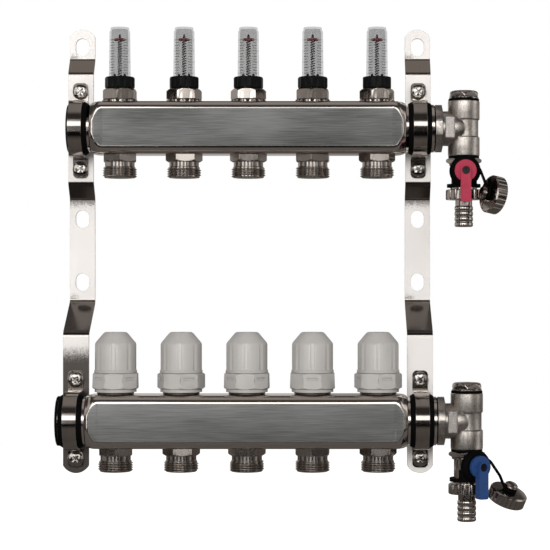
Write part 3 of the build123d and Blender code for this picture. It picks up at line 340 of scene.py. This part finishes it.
def brushed_bar(finish, place):
    """Fine brushing on the flat faces only, up to where the ends are drawn in."""
    out = finish.split(finish.node("ShaderNodeNewGeometry", None, None, "Normal"))[1]
    along, depth, height = finish.split(place)
    off_middle = along - bracket_spacing / 2
    before_ends = finish.step(off_middle.math("ABSOLUTE", off_middle), 0.123, 0.121)
    flat = finish.step(out.math("ABSOLUTE", out), 0.985, 0.999) * before_ends
    lines = grain(finish, place, 0.22, (90, 1, 1), 4)
    patches = grain(finish, place, 22, (3, 1, 1), 2)
    drawn = finish.step(lines * 0.62 + patches * 0.38, 0.28, 0.72)
    # Painted shade: the supply bar's face, above, is a darker copy of the return bar's, against the brighter
    # light it reflects.
    lower = finish.blend(drawn, (0.12, 0.124, 0.122, 1), (0.3, 0.304, 0.3, 1))
    upper = finish.blend(drawn, (0.065, 0.068, 0.067, 1), (0.215, 0.22, 0.218, 1))
    brushed = finish.blend(finish.step(height, -0.02, 0.02), lower, upper)
    return {
        "Base Color": finish.blend(flat, (0.66, 0.61, 0.57, 1), brushed),
        "Roughness": 0.13 + flat * (0.24 + lines * 0.12),
        "Normal": raised(finish, lines * flat + patches * 0.4, 0.03, 0.5),
    }


bar_steel = surface("brushed_bar_steel", brushed_bar, 1.0)
neck_cut = {"supply": 4.3, "return": 0}
for bar, cut in neck_cut.items():
    tube = from_cad(f"{bar}_bar", f"{bar}_square_bar", bar_steel, "manifold")
    for vert in tube.data.vertices:
        if vert.co.x < -5 * MM:
            vert.co.x += cut * MM


# Four clamps hold the bars' necks on the brackets. Each is a rubber sleeve with lips, a bright steel
# band bent over it, and a cross-headed screw through each of the band's ears.


def black_rubber(finish, place):
    pores = grain(finish, place, 0.5)
    return {
        "Base Color": finish.blend(pores, (0.001, 0.001, 0.001, 1), (0.003, 0.003, 0.003, 1)),
        "Roughness": 0.5 + pores * 0.2,
        "Normal": raised(finish, pores, 0.04, 0.5),
    }


def pressed_band(finish, place):
    haze = grain(finish, place, 6)
    lines = grain(finish, place, 0.3, (1, 30, 30))
    return {
        "Base Color": finish.blend(haze, (0.36, 0.32, 0.29, 1), (0.5, 0.46, 0.43, 1)),
        "Roughness": 0.07 + lines * 0.06,
        "Normal": raised(finish, lines, 0.01, 0.4),
    }


def zinc(finish, place):
    haze = grain(finish, place, 2)
    dirt = grain(finish, place, 0.7)
    return {
        "Base Color": finish.blend(haze, (0.2, 0.185, 0.17, 1), (0.55, 0.52, 0.49, 1)),
        "Roughness": 0.08 + dirt * 0.14,
        "Normal": raised(finish, dirt, 0.05, 0.5),
    }


rubber = surface("black_rubber", black_rubber, 0.0, **{"Specular IOR Level": 0.03})
band_steel = surface("clamp_band_steel", pressed_band, 1.0)
screw_zinc = surface("bright_zinc", zinc, 1.0)


def clamp_middle(place):
    """The X and Z of the middle of the clamp that a point is on."""
    middle_x = 0 if place.x < bracket_spacing / 2 else bracket_spacing
    middle_z = 0.0945 if place.z > 0 else -0.1305
    return middle_x, middle_z


# The upper left liner ends with its neck
liners = from_cad("clamp_liners", "rubber_clamp_liners", rubber, "manifold", 0.3)
for vert in liners.data.vertices:
    if vert.co.x < 0 and vert.co.z > 0:
        vert.co.x *= 0.69

# The bands are narrower round the necks than the CAD's
band_reach = 20.5 * MM
bands = from_cad("clamp_bands", "steel_clamp_bands", band_steel, "manifold", 0.35)
for vert in bands.data.vertices:
    middle_x, middle_z = clamp_middle(vert.co)
    if abs(vert.co.z - middle_z) < band_reach:
        vert.co.x = middle_x + (vert.co.x - middle_x) * 0.88

# The screws' heads are wider than the CAD's, and their shanks are not
screw_reach = 30.5 * MM
shank_radius = 2.6 * MM
screws = from_cad("clamp_screws", "clamp_screws_cross_head", screw_zinc, "manifold", 0.25)
for vert in screws.data.vertices:
    middle_x, middle_z = clamp_middle(vert.co)
    middle_z += screw_reach if vert.co.z > middle_z else -screw_reach
    across = vert.co.x - middle_x
    up = vert.co.z - middle_z
    if hypot(across, up) > shank_radius:
        vert.co.x += across * 0.14
        vert.co.z += up * 0.14


# Ten outlet nipples under the bars, five to each. A nickel-plated brass nipple has a hexagon against
# the bar, a short neck and a coarse pipe thread, and its mouth is bored to a cone for the pipe union.


def turned(points, steps=64):
    """A form turned about Z, from the (radius, height) corners of its outline in millimetres."""
    bm = bmesh.new()
    verts = [bm.verts.new((radius * MM, 0, height * MM)) for radius, height in points]
    pairs = list(zip(verts, verts[1:]))
    if points[0][0] or points[-1][0]:
        pairs.append((verts[-1], verts[0]))
    edges = [bm.edges.new(pair) for pair in pairs]
    full = {"axis": (0, 0, 1), "cent": (0, 0, 0), "angle": 2 * pi, "steps": steps, "use_merge": True}
    bmesh.ops.spin(bm, geom=verts + edges, **full)
    bmesh.ops.remove_doubles(bm, verts=bm.verts, dist=0.001 * MM)
    bmesh.ops.recalc_face_normals(bm, faces=bm.faces)
    return bm


def flatten(bm, sides, flats, low, high):
    """Presses a turned form flat on so many sides between two heights, one of them facing +X."""
    for vert in bm.verts:
        if low <= vert.co.z / MM <= high:
            radius = hypot(vert.co.x, vert.co.y)
            away = (atan2(vert.co.y, vert.co.x) + pi / sides) % (2 * pi / sides) - pi / sides
            limit = flats / 2 * MM / cos(away)
            if radius > limit:
                vert.co.x *= limit / radius
                vert.co.y *= limit / radius
    return bm


def gather(parts):
    """One bmesh made of several."""
    whole = bmesh.new()
    for part in parts:
        mesh = bpy.data.meshes.new("part")
        part.to_mesh(mesh)
        part.free()
        whole.from_mesh(mesh)
        bpy.data.meshes.remove(mesh)
    return whole


def moved(bm, offset, *turns):
    """A bmesh turned by each (degrees, axis) and then moved by millimetres."""
    for angle, axis in turns:
        bm.transform(Matrix.Rotation(radians(angle), 4, axis))
    bm.transform(Matrix.Translation(Vector(offset) * MM))
    return bm


def bar_axis(bar):
    """The Y and Z of a bar's axis, in millimetres."""
    low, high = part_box(f"{bar}_bar")
    middle = (low + high) / 2 / MM
    return middle.y, middle.z


def pipe_thread(root, crest, pitch, start, turns):
    """A helical ridge, closed at both ends, running down from a height."""
    bm = bmesh.new()
    base = 0.46 * pitch
    tip = 0.1 * pitch
    inside = root - 0.3
    ridge = [(inside, base), (root, base), (crest, tip), (crest, -tip), (root, -base), (inside, -base)]
    verts = [bm.verts.new((radius * MM, 0, (start + rise) * MM)) for radius, rise in ridge]
    face = bm.faces.new(verts)
    steps = int(40 * turns)
    winding = {"axis": (0, 0, 1), "cent": (0, 0, 0), "angle": 2 * pi * turns, "steps": steps}
    bmesh.ops.spin(bm, geom=[face, *face.edges, *verts], dvec=(0, 0, -pitch * turns / steps * MM), **winding)
    bmesh.ops.holes_fill(bm, edges=[edge for edge in bm.edges if edge.is_boundary])
    bmesh.ops.recalc_face_normals(bm, faces=bm.faces)
    return bm


def satin_nickel(finish, place):
    cloud = grain(finish, place, 9, detail=2)
    speck = grain(finish, place, 0.7)
    return {
        "Base Color": finish.blend(cloud * 0.6 + speck * 0.4, (0.33, 0.295, 0.27, 1), (0.56, 0.515, 0.48, 1)),
        "Roughness": 0.12 + cloud * 0.05 + speck * 0.06,
        "Normal": raised(finish, speck, 0.03, 0.08),
    }


def bright_nickel(finish, place):
    cloud = grain(finish, place, 5, detail=2)
    return {
        "Base Color": finish.blend(cloud, (0.36, 0.325, 0.3, 1), (0.54, 0.5, 0.47, 1)),
        "Roughness": 0.09 + cloud * 0.08,
    }


nickel = surface("turned_nickel", satin_nickel, 1.0)
polished_nickel = surface("polished_nickel", bright_nickel, 1.0)
circuits = [33, 83, 133, 183, 233]
nipple_turns = [-23, 8, 2, 26, 8]
hexagon = [(14.43, -20.25), (14.43, -24.7), (13.9, -25.1), (13.4, -25.45), (12.9, -25.8), (12.3, -26.15)]
stem = [(11.5, -26.15), (11.5, -29.7), (12.15, -30.1), (12.15, -37.7), (11.5, -38.45)]
mouth = [(9.3, -38.45), (7.5, -33.9), (7.5, -16.4), (10.1, -16.4), (10.1, -20.25)]
nipples = []
for bar in ("supply", "return"):
    y, z = bar_axis(bar)
    for x, turn in zip(circuits, nipple_turns):
        body = flatten(turned(hexagon + stem + mouth, 96), 6, 25, -26.2, -20.2)
        nipples.append(moved(body, (x, y, z), (turn + 30, "Z")))
        nipples.append(moved(pipe_thread(12.15, 13.22, 1.814, -30.95, 3.65), (x, y, z), (turn * 7, "Z")))
outlets = rounded(piece(gather(nipples), "threaded_outlet_nipples", nickel, "manifold"), 0.18)
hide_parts("outlet_nipples")


# The left end of each bar is dark and closed: a thin black cover is pressed over the rim of its neck.

cover_side = [(18.9, -10.9), (18.9, -9.2), (18.53, -9.2), (18.53, -11.02)]
cover = [(0, -11.3), (18.4, -11.3), *cover_side, (0, -11.02)]
covers = []
for bar, cut in neck_cut.items():
    covers.append(moved(turned(cover), (cut, *bar_axis(bar)), (90, "Y")))
piece(gather(covers), "black_covers_on_left_necks", rubber, "manifold")


# Five flow meters on top of the supply bar. Each has a plated hexagon base with a notched flange, a
# black eight-sided collar that sets the flow, and a clear moulded sight glass with a scale on it.

meter_turns = [25, 11, -4, 25, 11]
collar_turns = [1, -11, 13, -4, 19]
y, z = bar_axis("supply")
flange = [(10.1, 16.3), (10.1, 20.25), (13.7, 20.25), (13.75, 21.7), (13.2, 22.55)]
base_hexagon = [(12.6, 22.7), (13.86, 22.8), (13.86, 28.9)]
base_top = [(13.4, 29.4), (12.9, 29.8), (12.4, 30.2), (11.8, 30.65)]
socket = [(9.2, 30.65), (9.2, 36.95), (8.1, 36.95), (8.1, 32.95), (2.4, 32.95), (2.4, 25.95), (0.65, 25.95)]
below = [(0.65, 23.95), (7.5, 23.95), (7.5, 16.3)]
bases = []
for x, turn in zip(circuits, meter_turns):
    outline = flange + base_hexagon + base_top + socket + below
    base = flatten(turned(outline, 96), 6, 24, 22.75, 30.7)
    for vert in base.verts:
        around = degrees(atan2(vert.co.y, vert.co.x)) % 30
        on_rim = hypot(vert.co.x, vert.co.y) > 13.1 * MM and 20.5 * MM < vert.co.z < 22.6 * MM
        if on_rim and around < 9:
            vert.co.x *= 0.955
            vert.co.y *= 0.955
    bases.append(moved(base, (x, y, z), (turn + 30, "Z")))
meters = rounded(piece(gather(bases), "flow_meter_hexagons", nickel, "manifold"), 0.18)
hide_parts("flow_meter_bodies")


def black_moulding(finish, place):
    spark = grain(finish, place, 0.3)
    wear = grain(finish, place, 5)
    return {
        "Base Color": finish.blend(wear, (0.002, 0.002, 0.002, 1), (0.006, 0.006, 0.006, 1)),
        "Roughness": 0.26 + spark * 0.14,
        "Normal": raised(finish, spark, 0.03, 0.5),
    }


black_plastic = surface("black_moulded_plastic", black_moulding, 0.0, **{"Specular IOR Level": 0.06})
ring_foot = [(10.1, 30.95), (10.9, 31.1), (11.4, 31.7), (11.6, 32.6)]
ring_side = [(11.6, 38.6), (11.4, 39.3), (10.9, 39.95)]
ring_top = [(10.2, 40.15), (8.75, 40.15), (8.75, 37.75), (9.5, 37.75), (9.5, 30.95)]
for number, (x, turn) in enumerate(zip(circuits, collar_turns), 1):
    collar = flatten(turned(ring_foot + ring_side + ring_top, 96), 8, 21.8, 30.9, 40.2)
    for vert in collar.verts:
        around = (degrees(atan2(vert.co.y, vert.co.x)) + 22.5) % 45 - 22.5
        on_side = hypot(vert.co.x, vert.co.y) > 10.5 * MM and 32.5 * MM < vert.co.z < 38.7 * MM
        if on_side and abs(around) < 2.5:
            vert.co.x *= 0.965
            vert.co.y *= 0.965
    moved(collar, (x, y, z), (turn + 22.5, "Z"))
    made = rounded(piece(collar, f"black_flow_collar_{number}", black_plastic, f"collar_{number}"), 0.2)
    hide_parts(f"flow_collar_{number}")


def clear_moulding(finish, place):
    flow = grain(finish, place, 5, (1, 1, 5))
    return {
        "Base Color": finish.blend(flow, (0.01, 0.0095, 0.009, 1), (0.03, 0.029, 0.028, 1)),
        "Roughness": 0.08 + flow * 0.1,
        "Alpha": 0.21 + flow * 0.08,
        "Normal": raised(finish, flow, 0.15, 0.4),
    }


clear_plastic = surface("clear_sight_glass", clear_moulding, 0.0, **{"Specular IOR Level": 0.5})
outside = [(8.05, 32.95), (8.05, 36.95), (8.45, 37.2), (8.4, 44), (7.98, 75.5), (7.6, 75.95), (7.25, 75.95)]
rim = [(7.25, 78.2), (6.9, 78.55), (0, 78.55), (0, 77.05), (5.9, 77.05), (6.6, 74.9), (6.6, 32.95)]
glasses = [moved(turned(outside + rim), (x, y, z)) for x in circuits]
glass = piece(gather(glasses), "clear_sight_glasses", clear_plastic, "manifold", 40)
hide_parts("flow_glasses")


# The scale on each sight glass: two columns of ticks with plain numbers beside them, printed in grey
# round the outside of the tapered moulding.


def grey_print(finish, place):
    patchy = grain(finish, place, 0.5)
    return {
        "Base Color": finish.blend(patchy, (0.05, 0.048, 0.046, 1), (0.16, 0.153, 0.147, 1)),
        "Roughness": 0.5 + patchy * 0.2,
    }


print_grey = surface("grey_scale_print", grey_print)


def wrapped(bm, angle):
    """Bends flat work, drawn in X and Z, round the tapered glass at an angle from the front."""
    foot, foot_radius = 44, 8.425
    top, top_radius = 75.5, 8.005
    for vert in bm.verts:
        share = min(1, max(0, (vert.co.z / MM - foot) / (top - foot)))
        radius = (foot_radius + (top_radius - foot_radius) * share) * MM + vert.co.y
        turn = vert.co.x / radius + radians(angle)
        vert.co.x = radius * sin(turn)
        vert.co.y = -radius * cos(turn)
    return bm


def flat_bar(width, height, z):
    """A thin flat rectangle about a height in the XZ plane, its thickness standing out in Y."""
    bm = bmesh.new()
    bmesh.ops.create_cube(bm, size=1)
    bm.transform(Matrix.Diagonal((width * MM, 0.03 * MM, height * MM, 1)))
    across = [edge for edge in bm.edges if edge.verts[0].co.x != edge.verts[1].co.x]
    bmesh.ops.subdivide_edges(bm, edges=across, cuts=3)
    return moved(bm, (0, 0, z))


def digit(text, size, z):
    """A printed figure about a height in the XZ plane."""
    curve = bpy.data.curves.new("figure", "FONT")
    curve.body = text
    curve.size = size * MM
    curve.extrude = 0.02 * MM
    curve.align_x = "CENTER"
    curve.align_y = "CENTER"
    curve.resolution_u = 2
    shape = bpy.data.objects.new("figure", curve)
    bpy.context.scene.collection.objects.link(shape)
    bpy.context.view_layer.update()
    solid = shape.evaluated_get(bpy.context.evaluated_depsgraph_get())
    mesh = bpy.data.meshes.new_from_object(solid)
    bpy.data.objects.remove(shape)
    bpy.data.curves.remove(curve)
    bm = bmesh.new()
    bm.from_mesh(mesh)
    bpy.data.meshes.remove(mesh)
    return moved(bm, (0, 0, z), (90, "X"))


marks = []
for x in circuits:
    for angle in (-39, 39):
        for step in range(13):
            height = 42.6 + 2.15 * step
            tick = flat_bar(4.6 if step % 2 == 0 else 3.6, 0.6, height)
            marks.append(moved(wrapped(tick, angle), (x, y, z)))
            if step % 4 == 0:
                figure = digit(str(5 - step // 4), 2.2, height)
                marks.append(moved(wrapped(figure, angle * 1.75), (x, y, z)))
scale = piece(gather(marks), "sight_glass_scales", print_grey, "manifold")


# Inside each glass a red disc rides on a thin rod. The flow draws its plate down against a dark coil
# spring, which stands on the base between two small black feet.


def red_moulding(finish, place):
    cloud = grain(finish, place, 4)
    spark = grain(finish, place, 0.4)
    return {
        "Base Color": finish.blend(cloud, (0.215, 0.014, 0.034, 1), (0.29, 0.026, 0.052, 1)),
        "Roughness": 0.38 + spark * 0.12,
        "Normal": raised(finish, spark, 0.03, 0.4),
    }


def dark_wire(finish, place):
    cloud = grain(finish, place, 2)
    return {
        "Base Color": finish.blend(cloud, (0.004, 0.004, 0.004, 1), (0.014, 0.013, 0.012, 1)),
        "Roughness": 0.3 + cloud * 0.15,
    }


def rod_moulding(finish, place):
    height = finish.split(place)[2]
    cloud = grain(finish, place, 1.5)
    tip = finish.step(height, 0.1645, 0.165)
    pale = finish.blend(cloud, (0.4, 0.385, 0.37, 1), (0.6, 0.585, 0.57, 1))
    return {
        "Base Color": finish.blend(tip, pale, (0.012, 0.011, 0.01, 1)),
        "Roughness": 0.3 + cloud * 0.1,
    }


red_plastic = surface("red_moulded_plastic", red_moulding, 0.0, **{"Specular IOR Level": 0.3})
rod_plastic = surface("pale_rod_with_a_dark_tip", rod_moulding)
spring_wire = surface("dark_spring_wire", dark_wire, 0.5)
disc = [(0.5, 68.5), (4.3, 68.5), (4.6, 68.8), (4.65, 69.5), (4.4, 69.9), (2.2, 70.35), (0.5, 70.35)]
rod_tip = [(0.6, 68.3), (0.95, 70.4), (0.95, 71.6), (0.7, 72.9), (0.35, 73.35), (0, 73.35)]
rod_foot = [(0, -10), (5.5, -10), (5.5, -8), (0.6, -8)]
feet = []
for number, x in enumerate(circuits, 1):
    rider = f"indicator_{number}"
    rod = moved(turned(rod_foot + rod_tip, 24), (x, y, z))
    made = rounded(piece(rod, f"indicator_rod_{number}", rod_plastic, rider), 0.1)
    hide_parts(f"flow_indicator_{number}")
    plate = moved(turned(disc, 32), (x, y, z))
    made = rounded(piece(plate, f"red_disc_{number}", red_plastic, rider), 0.1)
    coil = bmesh.new()
    wire = bmesh.ops.create_circle(coil, segments=8, radius=0.42 * MM, cap_ends=True)["verts"]
    bmesh.ops.transform(coil, matrix=Matrix.Rotation(radians(90), 4, "X"), verts=wire)
    bmesh.ops.translate(coil, vec=(1.45 * MM, 0, 26.4 * MM), verts=wire)
    turns = 22
    winding = {"axis": (0, 0, 1), "cent": (0, 0, 0), "angle": 2 * pi * turns, "steps": 20 * turns}
    rise = (68.1 - 26.6) / (20 * turns) * MM
    bmesh.ops.spin(coil, geom=[*coil.faces, *coil.edges, *coil.verts], dvec=(0, 0, rise), **winding)
    bmesh.ops.holes_fill(coil, edges=[edge for edge in coil.edges if edge.is_boundary])
    bmesh.ops.recalc_face_normals(coil, faces=coil.faces)
    moved(coil, (x, y, z))
    spring = piece(coil, f"coil_spring_{number}", spring_wire, "manifold", 80)
    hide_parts(f"flow_spring_{number}")
    anchor = (x * MM, y * MM, (z + 25.95) * MM)
    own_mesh(spring)
    for side in (-1, 1):
        foot = turned([(0, 32.95), (1.1, 32.95), (1, 41.9), (0.6, 42.5), (0, 42.5)], 12)
        feet.append(moved(foot, (x + side * 3.9, y - 1.4, z)))
clips = piece(gather(feet), "small_black_feet", black_plastic, "manifold")


# Five pre-setting valves on the return bar. A dark brass insert is screwed in, a white latching ring
# with square windows clips over it, and a white hand cap with eight soft hollows turns the spindle.


def white_moulding(finish, place):
    cloud = grain(finish, place, 18, detail=2)
    pores = grain(finish, place, 0.35)
    return {
        "Base Color": finish.blend(cloud, (0.29, 0.277, 0.264, 1), (0.332, 0.318, 0.304, 1)),
        "Roughness": 0.2 + pores * 0.12,
        "Normal": raised(finish, pores + cloud * 0.3, 0.05, 0.35),
    }


def dark_brass(finish, place):
    cloud = grain(finish, place, 2.5)
    speck = grain(finish, place, 0.5)
    return {
        "Base Color": finish.blend(cloud, (0.1, 0.085, 0.07, 1), (0.27, 0.24, 0.2, 1)),
        "Roughness": 0.24 + speck * 0.2,
        "Normal": raised(finish, speck, 0.05, 0.5),
    }


white_plastic = surface("white_moulded_plastic", white_moulding)
brass = surface("dark_valve_brass", dark_brass, 1.0)
y, z = bar_axis("return")
insert_stub = [(7.5, 19.5), (7.5, 16.3), (10.1, 16.3), (10.1, 20.3)]
insert_flange = [(13.6, 20.3), (14, 20.8), (14, 21.7), (13.6, 22.05)]
insert_thread = [(11.9, 22.05)]
for turn in range(6):
    insert_thread += [(13.1, 22.9 + 1.5 * turn), (13.7, 23.5 + 1.5 * turn), (13.1, 24.1 + 1.5 * turn)]
gland = [(13.1, 32.65), (7.2, 32.65), (6.9, 34.05), (2.7, 34.05), (2.7, 19.5)]
insert_outline = insert_stub + insert_flange + insert_thread + gland
inserts = [moved(turned(insert_outline), (x, y, z)) for x in circuits]
insert = rounded(piece(gather(inserts), "dark_valve_inserts", brass, "manifold"), 0.12)
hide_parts("valve_inserts")

cap_rings = from_cad("valve_cap_rings", "white_latching_rings", white_plastic, "manifold", 0.35, 3)
for number in range(1, 6):
    rider = f"knob_{number}"
    knob = from_cad(f"valve_knob_{number}", f"white_hand_cap_{number}", white_plastic, rider, 0.45, 3)
    pin = from_cad(f"valve_spindle_{number}", f"valve_spindle_{number}", brass, f"spindle_{number}", 0.12)


# A cast tee closes the right end of each bar. Its run is screwed into the bar's neck, its branch holds
# the drain valve below and the vent plug above, and a flat pad stands on its front.


def cast_nickel(finish, place):
    pits = grain(finish, place, 0.5, detail=4)
    cloud = grain(finish, place, 7, detail=2)
    mixed = finish.step(cloud * 0.3 + pits * 0.7, 0.34, 0.66)
    return {
        "Base Color": finish.blend(mixed, (0.3, 0.275, 0.25, 1), (0.76, 0.71, 0.67, 1)),
        "Roughness": 0.25 + cloud * 0.05 + pits * 0.08,
        "Normal": raised(finish, pits, 0.1, 0.7),
    }


def sandy_nickel(finish, place):
    sand = grain(finish, place, 0.6, detail=4)
    mixed = finish.step(sand, 0.35, 0.65)
    return {
        "Base Color": finish.blend(mixed, (0.32, 0.298, 0.276, 1), (0.63, 0.595, 0.57, 1)),
        "Roughness": 0.36 + sand * 0.14,
        "Normal": raised(finish, sand, 0.16, 0.8),
    }


cast_brass = surface("cast_nickel_brass", cast_nickel, 1.0)
pad_brass = surface("sand_cast_pad_brass", sandy_nickel, 1.0)
ends = {"supply": (300.5, *bar_axis("supply")), "return": (300.5, *bar_axis("return"))}
shoulder = [(9.6, -16.4), (13.45, -16.4), (13.55, -12), (13.55, -7.5), (13.4, -5.6), (13.1, -3.9)]
nose = [(12.65, -2.3), (12.05, -0.8), (11.35, 0.5), (10.5, 1.5), (9.6, 1.5)]
for bar, axis in ends.items():
    tee = from_cad(f"{bar}_tee", f"{bar}_end_tee", cast_brass, "manifold", 0.5, 3)
    bulge = moved(turned(shoulder + nose), axis, (90, "Y"))
    piece(bulge, f"{bar}_tee_shoulder", cast_brass, "manifold")
    pad = bmesh.new()
    bmesh.ops.create_cube(pad, size=1, matrix=Matrix.Diagonal((7.4 * MM, 3 * MM, 17.2 * MM, 1)))
    pad = moved(pad, (axis[0] - 11.6, axis[1] - 13.5, axis[2]))
    rounded(piece(pad, f"{bar}_tee_pad", pad_brass, "manifold"), 1.0, 4)


# A vent plug stands on each tee, on a black seal ring. It is a turned nickel-plated plug with a hexagon
# milled on it, a corner of which faces the front, and it has a black bleed screw in its middle.

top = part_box("vent_plugs")[1].z / MM - ends["supply"][2]
low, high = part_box("supply_bleed_screw")
hole = (high.x - low.x) / 2 / MM + 0.06
seat = top - 6.3
crown = [(hole, top), (8.6, top), (9.7, top - 0.25), (10.6, top - 0.8), (11.3, top - 1.6)]
sides = [(11.9, top - 2.6), (12.3, top - 3.2), (12.3, seat + 1.8), (10.7, seat + 1.6)]
washer = [(11.3, seat + 1.3), (11.5, seat + 0.8), (11.3, seat)]
thread = [(9.2, seat), (9.2, seat - 8), (hole, seat - 8)]
plugs = []
for axis in ends.values():
    body = turned(crown + sides + washer + thread, 96)
    plugs.append(moved(flatten(body, 6, 21.5, seat + 1.7, top - 0.1), axis))
plug = rounded(piece(gather(plugs), "hexagon_vent_plugs", polished_nickel, "manifold"), 0.25, 3)
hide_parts("vent_plugs")
seals = from_cad("seal_rings", "black_seal_rings", rubber, "manifold", 0.35)
for bar in ends:
    screw = from_cad(f"{bar}_bleed_screw", f"{bar}_bleed_screw", black_plastic, f"{bar}_bleed", 0.15)


# A drain valve hangs under each tee: a locknut, a turned body with a ball in it, and a lever with a
# moulded grip that turns the ball. The lever is red on the supply side and blue on the return side.


def blue_moulding(finish, place):
    cloud = grain(finish, place, 4)
    spark = grain(finish, place, 0.4)
    return {
        "Base Color": finish.blend(cloud, (0.008, 0.028, 0.1, 1), (0.012, 0.045, 0.15, 1)),
        "Roughness": 0.36 + spark * 0.14,
        "Normal": raised(finish, spark, 0.03, 0.4),
    }


blue_plastic = surface("blue_moulded_plastic", blue_moulding)
nuts = from_cad("drain_nuts", "drain_locknuts_and_unions", nickel, "manifold", 0.2)
for bar, paint in (("supply", red_plastic), ("return", blue_plastic)):
    body = from_cad(f"{bar}_drain_body", f"{bar}_drain_valve_body", nickel, "manifold", 0.25)
    ball = from_cad(f"{bar}_drain_ball", f"{bar}_drain_ball", nickel, f"{bar}_lever_set")
    shaft = from_cad(f"{bar}_drain_stem", f"{bar}_drain_stem", brass, f"{bar}_lever_set", 0.12)
    grip = from_cad(f"{bar}_lever", f"{bar}_lever_grip", paint, f"{bar}_lever_set", 0.6, 3)
    fixing = from_cad(f"{bar}_lever_screw", f"{bar}_lever_screw", spring_wire, f"{bar}_lever_set", 0.12)


# Below each drain valve hang a nickel-plated hose tail with round barbs, and a ribbed nickel-plated cap
# on a black rubber strap, which is moulded in one piece with a ring round the valve's outlet.

for bar in ends:
    tail = from_cad(f"{bar}_hose_tail", f"{bar}_hose_tail", polished_nickel, "manifold", 0.3)
    cap = from_cad(f"{bar}_hose_cap", f"{bar}_hose_cap", nickel, "manifold", 0.3)
    strap = from_cad(f"{bar}_cap_strap", f"{bar}_cap_strap", rubber, "manifold", 0.3)
